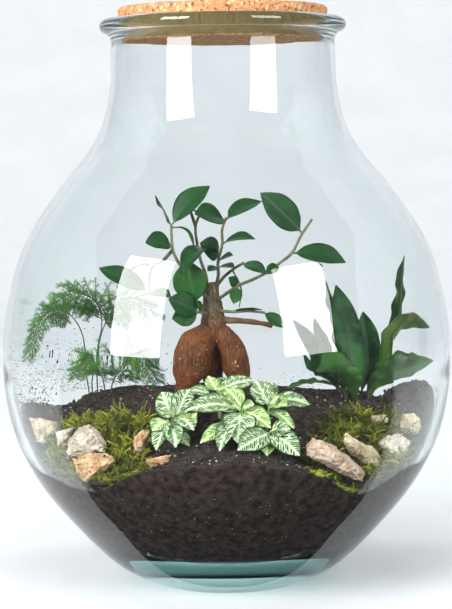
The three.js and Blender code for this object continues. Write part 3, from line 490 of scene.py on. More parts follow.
def dress_fittonia_leaf(s):
    across, out, tint = s.attribute("across"), s.math("ABSOLUTE", s.attribute("edge")), s.attribute("tint")
    veins = effect(s, VEINS, Spacing=3.4, Width=0.34, Midrib=0.9, Slant=0.95)
    sweep = s.math("SUBTRACT", s.attribute("along"), s.math("MULTIPLY", s.math("ABSOLUTE", across), 0.95))
    lengthwise, crosswise = s.math("DIVIDE", sweep, 1.7), s.math("DIVIDE", across, 4.6)
    lie = s.node("CombineXYZ", X=lengthwise, Y=crosswise, Z=s.math("MULTIPLY", tint, 37.0))
    cells = s.node(
        "TexVoronoi", {"feature": "DISTANCE_TO_EDGE"}, Vector=lie.outputs[0], Scale=1.0, Randomness=0.85,
    ).outputs["Distance"]
    line = s.math("SUBTRACT", 0.155, s.math("MULTIPLY", out, 0.08))
    net = s.math("SUBTRACT", 1.0, s.fade(cells, s.math("MULTIPLY", line, 0.7), s.math("MULTIPLY", line, 1.2)))
    flesh = s.mix(tint, (0.006, 0.032, 0.007), (0.11, 0.24, 0.025))
    pale = s.mix(tint, (0.46, 0.53, 0.36), (0.54, 0.62, 0.30))
    lines = s.math("MAXIMUM", s.math("MULTIPLY", veins["Side"], 0.6), s.math("MULTIPLY", net, 0.9))
    lines = s.math("MAXIMUM", lines, veins["Midrib"])
    margin = s.math("MULTIPLY", s.fade(out, 0.84, 0.96), 0.9)
    shown = s.math("MULTIPLY", lines, s.math("SUBTRACT", 1.0, margin))
    relief = s.node("Bump", Strength=0.8, Distance=0.0008, Height=s.math("SUBTRACT", 1.0, lines))
    return {"Base Color": s.mix(shown, flesh, pale), "Normal": relief.outputs[0]}


def dress_nest_leaf(s):
    veins = effect(s, VEINS, Spacing=1.15, Width=0.22, Midrib=0.75, Slant=0.28)
    tint = s.attribute("tint")
    clouds = s.fade(s.noise(s.place(), 0.07, 3.0), 0.38, 0.66)
    green = s.mix(clouds, (0.005, 0.025, 0.008), (0.016, 0.070, 0.017))
    olive = s.mix(clouds, (0.020, 0.044, 0.005), (0.080, 0.130, 0.016))
    blade = s.mix(tint, green, olive)
    browned = s.math("MULTIPLY", s.fade(s.noise(s.place(), 0.05, 2.0), 0.56, 0.66), tint)
    blade = s.mix(s.math("MULTIPLY", browned, 0.8), blade, (0.10, 0.045, 0.018))
    blade = s.mix(s.math("MULTIPLY", veins["Side"], 0.25), blade, (0.010, 0.040, 0.008))
    dots = effect(s, SPECKS, Scale=0.42, Size=0.15)
    blade = s.mix(dots["Mask"], blade, (0.42, 0.50, 0.36))
    relief = s.node("Bump", Strength=0.4, Distance=0.0005, Height=veins["Side"])
    ribbed = s.mix(s.math("MULTIPLY", veins["Midrib"], 0.6), blade, (0.030, 0.040, 0.012))
    return {"Base Color": ribbed, "Normal": relief.outputs[0]}


def dress_needles(s):
    tip = s.attribute("tip")
    shade = s.fade(s.noise(s.place(), 0.08, 2.0), 0.35, 0.65)
    green = s.mix(shade, (0.022, 0.090, 0.012), (0.080, 0.22, 0.024))
    return {"Base Color": s.mix(s.math("MULTIPLY", tip, 0.5), green, (0.14, 0.30, 0.06))}


def dress_plain(dark, light, scale=0.2):
    def dress(s):
        return {"Base Color": effect(s, MOTTLE, Scale=scale, Dark=dark, Light=light)["Colour"]}
    return dress


GLASS = clear_glass()
CORK = finish("cork", dress_cork, 0.85, Specular_IOR_Level=0.25)
SOIL = finish("soil", dress_soil, 0.95, Specular_IOR_Level=0.12)
SOIL_CRUMB = finish("soil_crumb", dress_crumb, 0.95, Specular_IOR_Level=0.12)
MOSS = finish("moss", dress_moss, 0.8, Specular_IOR_Level=0.15)
STONE_COLOURS = {
    "stone_cream": ((0.40, 0.28, 0.18), (0.76, 0.60, 0.44)),
    "stone_grey": ((0.42, 0.31, 0.25), (0.82, 0.68, 0.57)),
    "stone_tan": ((0.44, 0.22, 0.11), (0.80, 0.52, 0.32)),
    "stone_pink": ((0.40, 0.24, 0.17), (0.74, 0.54, 0.44)),
}
STONE_FINISHES = {
    slot: finish(slot, dress_stone(*colours), 0.85, Specular_IOR_Level=0.3)
    for slot, colours in STONE_COLOURS.items()
}
BARK = finish("ficus_bark", dress_bark, 0.6, Specular_IOR_Level=0.2)
FICUS_LEAF = finish("ficus_leaf", dress_ficus_leaf, 0.28, Specular_IOR_Level=0.35)
FICUS_TWIG = finish("ficus_twig", dress_plain((0.050, 0.040, 0.020), (0.13, 0.13, 0.06)), 0.55)
FITTONIA_LEAF = finish("fittonia_leaf", dress_fittonia_leaf, 0.5, Specular_IOR_Level=0.3)
FITTONIA_STEM = finish("fittonia_stem", dress_plain((0.10, 0.14, 0.04), (0.25, 0.30, 0.10)), 0.6)
NEST_LEAF = finish("nest_fern_leaf", dress_nest_leaf, 0.30, Specular_IOR_Level=0.3)
NEST_STALK_FINISH = finish("nest_fern_stalk", dress_plain((0.020, 0.018, 0.008), (0.05, 0.06, 0.02)), 0.5)
NEEDLES = finish("asparagus_needles", dress_needles, 0.5, Specular_IOR_Level=0.25)
ASPARAGUS_STEM_FINISH = finish("asparagus_stem", dress_plain((0.015, 0.030, 0.008), (0.05, 0.09, 0.02)), 0.5)

# Glass vessel

GLASS_TOP = 375.3
NECK_OUTER = 74.2
NECK_INNER = 70.0
NECK_FOOT = 360.0
BEAD_RADIUS = 4.4
LIP_RADIUS = 82.0
LIP_ROUND = 2.0
GAP = 0.35
JAR_SIDES = 176
BOWL_OUTSIDE = [
    [52, 0], [76, 12], [108, 44], [128, 70], [143, 101], [150, 140], [149, 172],
    [136, 224], [108, 267.5], [91, 288], [80.5, 308], [75.8, 329], [NECK_OUTER, NECK_FOOT],
]
BOWL_INSIDE = [
    [0, 14], [46, 15], [78, 27], [100, 47], [122.5, 72], [138, 102], [145.6, 140], [144.6, 171],
    [131.8, 222], [104.5, 265], [87, 286], [76.3, 306], [71.6, 329], [NECK_INNER, NECK_FOOT],
]


def even_profile(points, steps):
    path = Path([[r, 0, z] for r, z in points])
    return path.at(np.linspace(0, 1, steps + 1))[:, [0, 2]]


INSIDE = even_profile(BOWL_INSIDE, 110)


def arc(centre, radius, start, end, steps):
    turns = np.linspace(start, end, steps + 1)
    return np.stack([centre[0] + radius * np.cos(turns), centre[1] + radius * np.sin(turns)], axis=1)


def make_jar():
    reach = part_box("glass_bowl")[1].x / MM
    outside = even_profile(BOWL_OUTSIDE, 120)
    bead_centre = LIP_RADIUS - BEAD_RADIUS
    under = np.array([bead_centre + BEAD_RADIUS * 0.35, GLASS_TOP - BEAD_RADIUS * 1.93])
    start, bend = np.array([NECK_OUTER, NECK_FOOT]), np.array([NECK_OUTER + 0.6, under[1] - 1.5])
    shares = np.linspace(0, 1, 9)[1:, None]
    flare = (1 - shares) ** 2 * start + 2 * shares * (1 - shares) * bend + shares**2 * under
    bead = arc((bead_centre, GLASS_TOP - BEAD_RADIUS), BEAD_RADIUS, -1.15, math.pi / 2, 20)
    mouth = arc((NECK_INNER + LIP_ROUND, GLASS_TOP - LIP_ROUND), LIP_ROUND, math.pi / 2, math.pi, 8)
    profile = np.vstack([[[0, 0]], outside, flare, bead, mouth, INSIDE[::-1]])
    profile[:, 0] = np.minimum(profile[:, 0], reach)
    jar = Shape()
    jar.add(*lathe(profile, JAR_SIDES))
    place(jar.build("jar_glass", [GLASS]), "clear_glass", "glass_bowl", "glass_shoulder", "glass_neck")


# Cork lid

CORK_TOP = 383.0
CORK_THICKNESS = 21.5
CORK_FOOT_RADIUS = 67.6
CORK_CHAMFER = 1.4
CORK_FINENESS = 1.3
CORK_SIDES = 260


def make_lid():
    seat = NECK_INNER - GAP
    foot = CORK_TOP - CORK_THICKNESS
    corners = [
        [0, foot], [CORK_FOOT_RADIUS - CORK_CHAMFER, foot], [CORK_FOOT_RADIUS, foot + CORK_CHAMFER],
        [seat, GLASS_TOP - LIP_ROUND], [seat, CORK_TOP - CORK_CHAMFER], [seat - CORK_CHAMFER, CORK_TOP],
        [0, CORK_TOP],
    ]
    profile = [corners[0]]
    for (r0, z0), (r1, z1) in zip(corners, corners[1:]):
        steps = max(1, round(math.hypot(r1 - r0, z1 - z0) / CORK_FINENESS))
        profile += [[r0 + (r1 - r0) * k / steps, z0 + (z1 - z0) * k / steps] for k in range(1, steps + 1)]
    lid = Shape()
    lid.add(*lathe(profile, CORK_SIDES))
    piece = lid.build("lid_cork", [CORK])

    def chips(spot, normal):
        grain = noise.voronoi(spot * 0.55)[0][0]
        pit = max(0.0, noise.noise(spot * 0.31) - 0.28)
        return -0.55 * max(0.0, grain - 0.25) - 2.2 * pit

    push_out(piece, chips)
    place(piece, "cork", "cork_lid")


# Soil

SOIL_LEVEL = 100.5
SOIL_COLUMNS, SOIL_RINGS, SOIL_WALL_RINGS = 240, 76, 50
CRUMBS, GRIT = 8500, 150
# Mounds and hollows of the soil: place, spread and height
SOIL_RELIEF = [
    [-4, 8, 55, 30], [-66, 66, 20, 9], [-110, 62, 20, 4], [90, 56, 30, 5], [-138, 6, 22, 15],
    [136, 14, 22, 23], [-122, -46, 16, -10], [122, -44, 16, -12],
    [-88, -88, 32, -24], [80, -90, 30, -27],
]
SOIL_RIPPLE = 1.1
# Moist soil clings to the wall, so there its skin is pressed a little into the glass.
# It lies loose on the thick base.
SOIL_PRESS = np.interp(INSIDE[:, 1], [30, 42], [-GAP, 0.9])
SOIL_SIDE = np.stack([np.maximum(INSIDE[:, 0] + SOIL_PRESS, 0), INSIDE[:, 1] - SOIL_PRESS], axis=1)


def soil_height(x, y):
    """Height of the soil's surface above a place."""
    height = SOIL_LEVEL + SOIL_RIPPLE * np.sin(np.asarray(x) / 13 + 1) * np.cos(np.asarray(y) / 11)
    for cx, cy, spread, rise in SOIL_RELIEF:
        height = height + rise * np.exp(-((x - cx) ** 2 + (y - cy) ** 2) / (2 * spread * spread))
    return height


def side_radius(height):
    """Radius of the soil's side at a height."""
    return np.interp(height, SOIL_SIDE[:, 1], SOIL_SIDE[:, 0])


def soil_rim(turn):
    radius = side_radius(SOIL_LEVEL)
    for _ in range(8):
        radius = side_radius(soil_height(radius * np.cos(turn), radius * np.sin(turn)))
    return radius


def make_soil():
    turns = np.linspace(0, 2 * np.pi, SOIL_COLUMNS, endpoint=False)
    rim = soil_rim(turns)
    rim_height = soil_height(rim * np.cos(turns), rim * np.sin(turns))
    rows = []
    for i in range(1, SOIL_RINGS + 1):
        radius = rim * i / SOIL_RINGS
        x, y = radius * np.cos(turns), radius * np.sin(turns)
        rows.append(np.stack([x, y, soil_height(x, y)], axis=1))
    floor = SOIL_SIDE[1, 1]
    for i in range(1, SOIL_WALL_RINGS + 1):
        height = rim_height + (floor - rim_height) * i / SOIL_WALL_RINGS
        radius = side_radius(height)
        rows.append(np.stack([radius * np.cos(turns), radius * np.sin(turns), height], axis=1))
    points = np.vstack([*rows, [[0, 0, soil_height(0, 0)]], [[0, 0, floor]]])
    faces = [tuple(reversed(face)) for face in ring_quads(len(rows), SOIL_COLUMNS)]
    top, low = len(points) - 2, len(points) - 1
    last = (len(rows) - 1) * SOIL_COLUMNS
    for j in range(SOIL_COLUMNS):
        faces.append((top, j, (j + 1) % SOIL_COLUMNS))
        faces.append((low, last + (j + 1) % SOIL_COLUMNS, last + j))
    bed = Shape()
    bed.add(points, faces)
    piece = bed.build("soil_bed", [SOIL])
    edge = rim.min()

    def crumble(spot, normal):
        lump = noise.noise(spot * 0.33) + 0.6 * noise.noise(spot * 0.8)
        reach = math.hypot(spot.x, spot.y)
        if normal.z > 0.5 and reach < edge - 3:
            return 1.6 * lump
        hollow = max(0.0, noise.noise(spot * 0.21) + 0.5 * noise.noise(spot * 0.55))
        return -1.1 * hollow - 0.2 * abs(lump)

    push_out(piece, crumble)
    place(piece, "soil", "potting_soil")


def crumb(shape, centre, size, draw, **values):
    """A small rough lump."""
    points = []
    for x, y, z in ((1, 0, 0), (-1, 0, 0), (0, 1, 0), (0, -1, 0), (0, 0, 1), (0, 0, -1)):
        reach = size * draw.uniform(0.55, 1.0)
        points.append([centre[0] + x * reach, centre[1] + y * reach, centre[2] + 0.7 * z * reach])
    turn = draw.uniform(0, math.pi)
    local = np.array(points) - centre
    spun = local.copy()
    spun[:, 0] = local[:, 0] * math.cos(turn) - local[:, 1] * math.sin(turn)
    spun[:, 1] = local[:, 0] * math.sin(turn) + local[:, 1] * math.cos(turn)
    faces = [(0, 2, 4), (2, 1, 4), (1, 3, 4), (3, 0, 4), (2, 0, 5), (1, 2, 5), (3, 1, 5), (0, 3, 5)]
    shape.add(spun + centre, faces, **values)


def make_crumbs():
    draw = random.Random(11)
    crumbs = Shape()
    for number in range(CRUMBS):
        turn = draw.uniform(0, 2 * math.pi)
        reach = soil_rim(np.array(turn)) * math.sqrt(draw.uniform(0.0, 0.95))
        x, y = reach * math.cos(turn), reach * math.sin(turn)
        size = draw.uniform(1.8, 3.0) if number % 30 == 0 else draw.uniform(0.4, 1.5)
        pale = 1.0 if size < 1.4 and draw.random() < 0.06 else 0.0
        crumb(crumbs, np.array([x, y, soil_height(x, y) + 0.35 * size]), size, draw, pale=pale)
    for _ in range(GRIT):
        turn, height = math.radians(draw.gauss(-88, 24)), draw.uniform(50, 82)
        reach = side_radius(height) - 0.5
        spot = np.array([reach * math.cos(turn), reach * math.sin(turn), height])
        crumb(crumbs, spot, draw.uniform(0.35, 0.9), draw, pale=1.0)
    place(crumbs.build("soil_crumbs", [SOIL_CRUMB], smooth=False), "soil")


# Where specks stick to the glass: heading, its spread, height, its spread, and how many
DUST_PATCHES = [
    (158, 26, 116, 24, 1900), (122, 18, 116, 16, 800), (52, 17, 116, 12, 500), (90, 30, 112, 9, 400),
    (200, 16, 110, 18, 700), (-22, 16, 112, 10, 300), (-35, 20, 106, 6, 120), (-125, 22, 106, 6, 160),
]


def make_dust():
    """Specks of soil on the inside of the glass, where it was filled in."""
    draw = random.Random(5)
    dust = Shape()
    for heading, spread, level, rise, count in DUST_PATCHES:
        for _ in range(count):
            turn = math.radians(draw.gauss(heading, spread * 0.6))
            height = level + abs(draw.gauss(0, rise)) - 6
            size = 0.24 + 0.95 * draw.random() ** 4
            radius = float(np.interp(height, INSIDE[:, 1], INSIDE[:, 0])) - 0.1 - 0.8 * size
            crumb(dust, np.array([radius * math.cos(turn), radius * math.sin(turn), height]), size, draw)
    place(dust.build("soil_dust", [SOIL], smooth=False), "soil")


# Moss

def copied(name, node, voxel, rounds, materials):
    """A finer skin over the shape of a CAD node."""
    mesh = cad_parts[node].data
    points = np.array([v.co for v in mesh.vertices]) / MM
    shape = Shape()
    shape.add(points, [tuple(p.vertices) for p in mesh.polygons])
    return smoothed(name, shape, voxel, rounds, materials)


def strand(shape, base, heading, length, width, bow, draw, tint):
    """A thin bent thread of three sides that narrows to a point."""
    sides = 3
    sag = unit(np.cross(heading, [draw.uniform(-1, 1), draw.uniform(-1, 1), 0.3])) * bow
    mid = base + heading * length * 0.55 + sag * 0.7
    tip = base + heading * length + sag * 0.2 - UP * bow * 0.5
    across = unit(np.cross(heading, sag))
    other = unit(np.cross(heading, across))
    points = []
    for centre, size in ((base, width), (mid, width * 0.75)):
        for k in range(sides):
            turn = 2 * math.pi * k / sides
            points.append(centre + size * 0.5 * (math.cos(turn) * across + math.sin(turn) * other))
    points.append(tip)
    faces = ring_quads(2, sides)
    faces += [(sides + k, sides + (k + 1) % sides, 2 * sides) for k in range(sides)]
    faces.append(tuple(range(sides - 1, -1, -1)))
    shape.add(points, faces, tip=[0.0] * sides + [0.6] * sides + [1.0], tint=tint)


def feather(shape, base, heading, length, draw, tint):
    """A creeping moss stem with small leaves down both sides."""
    bend = unit(np.cross(heading, [draw.gauss(0, 1), draw.gauss(0, 1), 0.4])) * length * draw.uniform(0.05, 0.3)
    stops = np.linspace(0, 1, max(5, int(length / 0.7)))[:, None]
    stem = base + heading * length * stops + bend * stops**2 - UP * length * 0.22 * stops**2
    across = unit(np.cross(heading, UP + 0.6 * bend))
    shape.add_tube(stem, np.linspace(0.22, 0.1, len(stem)), 3, tip=0.35, tint=tint)
    ways = unit(np.gradient(stem, axis=0))
    for i in range(1, len(stem)):
        reach = 2.1 * (1 - 0.55 * stops[i, 0]) * draw.uniform(0.75, 1.15)
        for side in (-1, 1):
            aim = unit(side * across + ways[i] * 0.9 + UP * draw.uniform(-0.35, 0.6))
            wide = unit(np.cross(aim, UP)) * 0.36
            middle = stem[i] + aim * reach * 0.45
            points = [stem[i], middle + wide, stem[i] + aim * reach, middle - wide]
            shape.add(points, [(0, 1, 2, 3)], tip=[0.3, 0.7, 1.0, 0.7], tint=tint)


MOSS_THREADS, FRINGE_FEATHERS = 3100, 420


def make_moss(name, node, seed, fringe):
    """A mat over a CAD moss body, its threads, and a fringe along the glass between two headings."""
    draw = random.Random(seed)
    mat = copied(name + "_mat", node, 1.6, 2, [MOSS])
    push_out(mat, lambda spot, normal: 1.3 * noise.noise(spot * 0.22) + 0.8 * noise.noise(spot * 0.6))
    mesh = mat.data
    mesh.calc_loop_triangles()
    upper = [t for t in mesh.loop_triangles if t.normal.z > 0.15]
    weights = [t.area for t in upper]
    threads = Shape()
    for number, triangle in enumerate(draw.choices(upper, weights, k=MOSS_THREADS)):
        corners = [np.array(mesh.vertices[i].co) / MM for i in triangle.vertices]
        a, b = sorted((draw.random(), draw.random()))
        base = corners[0] * a + corners[1] * (b - a) + corners[2] * (1 - b)
        clump = noise.noise(Vector(base) * 0.12)
        lean = np.array([draw.gauss(0, 1.0), draw.gauss(0, 1.0), draw.uniform(0.15, 1.2) + 0.8 * clump])
        heading = unit(np.array(triangle.normal) * 0.5 + lean)
        tint = min(1.0, max(0.0, 0.45 + 1.1 * noise.noise(Vector(base) * 0.07) + draw.gauss(0, 0.2)))
        if number % 4:
            length = draw.uniform(1.5, 4.2) * (1 + 0.5 * clump)
            width, bow = draw.uniform(0.3, 0.6), draw.uniform(0.2, 1.8)
            strand(threads, base - heading * 0.5, heading, length, width, bow, draw, tint)
        else:
            feather(threads, base - heading * 0.5, heading, draw.uniform(5.0, 11.5) * (1 + 0.6 * clump), draw, tint)
    for _ in range(FRINGE_FEATHERS):
        turn = math.radians(draw.uniform(*fringe))
        reach = float(soil_rim(np.array(turn))) * draw.uniform(0.80, 0.985) - 1.5
        base = np.array([reach * math.cos(turn), reach * math.sin(turn), 0.0])
        base[2] = soil_height(base[0], base[1])
        tint = min(1.0, max(0.0, 0.4 + 1.1 * noise.noise(Vector(base) * 0.07) + draw.gauss(0, 0.2)))
        side = draw.choice([-1, 1])
        round_way = np.array([-math.sin(turn) * side, math.cos(turn) * side, draw.uniform(0.1, 0.9)])
        feather(threads, base, unit(round_way), draw.uniform(3.5, 7.0), draw, tint)
    place(mat, "moss", node)
    place(threads.build(name + "_threads", [MOSS]), "moss")


# Stones

STONES = {
    "stone_left_cream": "stone_cream", "stone_left_grey": "stone_grey", "stone_left_pointed": "stone_grey",
    "stone_left_tan": "stone_tan", "stone_left_orange": "stone_tan", "stone_front_flat": "stone_tan",
    "stone_right_long": "stone_pink", "stone_right_beige": "stone_cream", "stone_right_grey": "stone_grey",
    "stone_far_right": "stone_cream", "stone_back_small": "stone_grey",
}


def make_stone(node, slot):
    piece = copied(node.replace("stone_", "stone_rough_"), node, 0.66, 1, [STONE_FINISHES[slot]])

    def weather(spot, normal):
        facet = noise.voronoi(spot * 0.14)[0]
        chip = min(1.0, facet[1] - facet[0])
        pit = max(0.0, noise.noise(spot * 0.5) - 0.12)
        rough = noise.noise(spot * 0.17) + 0.5 * noise.noise(spot * 0.9) + 0.3 * noise.noise(spot * 2.1)
        return 0.8 * rough + 1.1 * chip - 0.8 - 2.8 * pit

    push_out(piece, weather)
    place(piece, slot, node)


# Ficus: root, trunk and cut branch

# Paths through the parts of the root and trunk, with their radii
FICUS_WOOD = [
    ([[-9, 6, 159], [-9, 2.5, 168.5], [-9, 0, 180.5], [-10, 0, 190.5], [-10, 0, 200.5]], [6, 9, 7.1, 5.7, 5.3]),
    (
        [[-12, 0, 167.5], [-20, -1, 157.5], [-24, -2, 147.5], [-27, -2, 136.5], [-31, -2, 122.5], [-32, -2, 110.5]],
        [7, 12.4, 13, 11.4, 7, 4, 3],
    ),
    (
        [[-4, 0, 167.5], [2, 1, 157.5], [6, 1, 148.5], [8, 1, 138.5], [9, 1, 123.5], [10, 1, 111.5]],
        [6.5, 8.6, 9.2, 9, 6.5, 4, 3],
    ),
    ([[-8, 4, 164.5], [-9, 10, 152.5], [-10, 13, 138.5], [-9, 14, 122.5], [-8, 14, 112.5]], [6, 8, 7, 5, 3]),
    ([[-5, 0, 175], [2, -1, 174.5], [16, -2, 173.5], [31, -4, 171]], [3, 2.2, 1.9, 1.7]),
]


def make_trunk():
    wood = Shape()
    for through, radii in FICUS_WOOD:
        add_branch(wood, through, radii, 24, 8 * len(through))
    piece = smoothed("ficus_wood", wood, 0.8, 4, [BARK])

    def bark(spot, normal):
        long_way = Vector((spot.x, spot.y, spot.z * 0.22))
        furrow = abs(noise.noise(long_way * 0.32))
        wrinkle = noise.noise(Vector((spot.x * 0.2, spot.y * 0.2, spot.z * 0.75)))
        swell, grain = noise.noise(spot * 0.11), noise.noise(spot * 0.9)
        return 0.9 * swell - 0.9 * max(0.0, 0.14 - furrow) + 0.2 * wrinkle + 0.22 * grain

    push_out(piece, bark)
    place(piece, "ficus_bark", "ficus_trunk")


# Leaves and twigs

# Half-width of each kind of leaf along its blade
OUTLINES = {
    "ficus": [[0, 0.06], [0.06, 0.26], [0.16, 0.62], [0.4, 0.98], [0.64, 0.93], [0.86, 0.48], [0.95, 0.2], [1, 0.03]],
    "fittonia": [
        [0, 0.1], [0.07, 0.45], [0.2, 0.82], [0.45, 1.0], [0.68, 0.86], [0.84, 0.52], [0.94, 0.22], [1, 0.02],
    ],
    "nest": [
        [0.1, 0.1], [0.24, 0.46], [0.38, 0.82], [0.52, 1], [0.66, 0.98], [0.79, 0.82], [0.9, 0.5], [1, 0.05],
    ],
}
# Thickness of a leaf in its middle, and the place of its stalk among a piece's finishes
BLADE = 0.7
STALK = 1


class Outline:
    """Half-width of a kind of leaf along its blade, as a share of the widest."""

    def __init__(self, rows):
        curve = catmull_rom([[t, share, 0] for t, share in rows], np.linspace(0, 1, 160))
        self.along, self.share = curve[:, 0], np.maximum(curve[:, 1], 0.02)
        self.start = rows[0][0]

    def at(self, shares):
        return np.interp(shares, self.along, self.share)


LEAF_OUTLINES = {kind: Outline(rows) for kind, rows in OUTLINES.items()}


def add_blade(shape, spine, width, facing, kind, draw, tint, fold, wave, waves, rows, columns, frill=0.0):
    """A closed thin blade along a spine, folded up along its midrib, with a waved or frilled edge."""
    outline = LEAF_OUTLINES[kind]
    path = Path(spine, 120)
    stops = np.linspace(outline.start, 1, rows)
    centres, tangents = path.at(stops), path.heading(stops)
    sides = unit(np.cross(tangents, facing))
    normals = np.cross(sides, tangents)
    half = width / 2 * outline.at(stops)
    edges = np.concatenate([np.linspace(-1, 1, columns), np.linspace(1, -1, columns)[1:-1]])
    upper = np.array([1.0] * columns + [-1.0] * (columns - 2))
    thick = BLADE * 0.5 * (0.25 + 0.75 * (1 - np.abs(edges) ** 2.0)) * upper
    phase = draw.uniform(0, 6.28)
    points, across = [], []
    for i, t in enumerate(stops):
        share = half[i] * 2 / width
        lift = half[i] * math.sin(fold) * np.abs(edges) ** 1.2
        lift = lift + wave * share * edges * np.abs(edges) * np.sin(2 * np.pi * waves * t + edges)
        lift = lift + frill * share * np.abs(edges) ** 3 * np.sin(2 * np.pi * waves * 1.9 * t + phase + edges * 1.5)
        lift = lift - 0.35 * share * np.exp(-((edges * half[i]) ** 2) / 1.2) * (upper > 0)
        ring = centres[i] + np.outer(edges * half[i] * math.cos(fold), sides[i]) + np.outer(lift + thick, normals[i])
        points.append(ring)
        across.append(edges * half[i])
    count = len(edges)
    faces = ring_quads(rows, count)
    faces.append(tuple(range(count - 1, -1, -1)))
    last = (rows - 1) * count
    faces.append(tuple(range(last, last + count)))
    shape.add(
        np.vstack(points), faces,
        across=np.concatenate(across), along=np.repeat(stops * path.length, count),
        edge=np.tile(edges, rows), tint=tint,
    )


def add_branch(shape, through, radii, sides, steps, kind=0):
    """A round stem on a curve through points, with its radii spread evenly along it."""
    shares = np.linspace(0, 1, steps)
    centres = catmull_rom(through, shares)
    sizes = np.interp(shares * (len(radii) - 1), np.arange(len(radii)), radii)
    shape.add_tube(centres, sizes, sides, kind)


def bowed_spine(base, tip, arch, facing):
    base, tip = np.array(base, float), np.array(tip, float)
    return [base, (base + tip) / 2 + unit(facing) * arch, tip]


def make_spray(node, twigs, leaves, draw, kind, radii, materials, blade):
    """A leafy spray: rounded twigs, a stalk to each leaf, and the leaves."""
    shape = Shape()
    for twig in twigs:
        add_branch(shape, twig, radii, 8, 7 * len(twig), STALK)
    paths = [Path(twig) for twig in twigs]
    for base, tip, width, arch, facing, tint in leaves:
        root = nearest_place(paths, base)
        spine = bowed_spine(base, tip, arch, facing)
        spine[0] = root
        stalk = Path(spine).at(np.linspace(0, 0.14, 6))
        shape.add_tube(stalk, np.linspace(0.75, 0.45, 6), 6, STALK)
        whole = Path(spine).at(np.linspace(0.07, 1, 5))
        add_blade(shape, whole, width, facing, kind, draw, tint, **blade)
    place(shape.build(node + "_leaves", materials), kind + "_leaf", node)


FICUS_RADII = [1.2, 0.85]
FITTONIA_RADII = [1.3, 0.9]
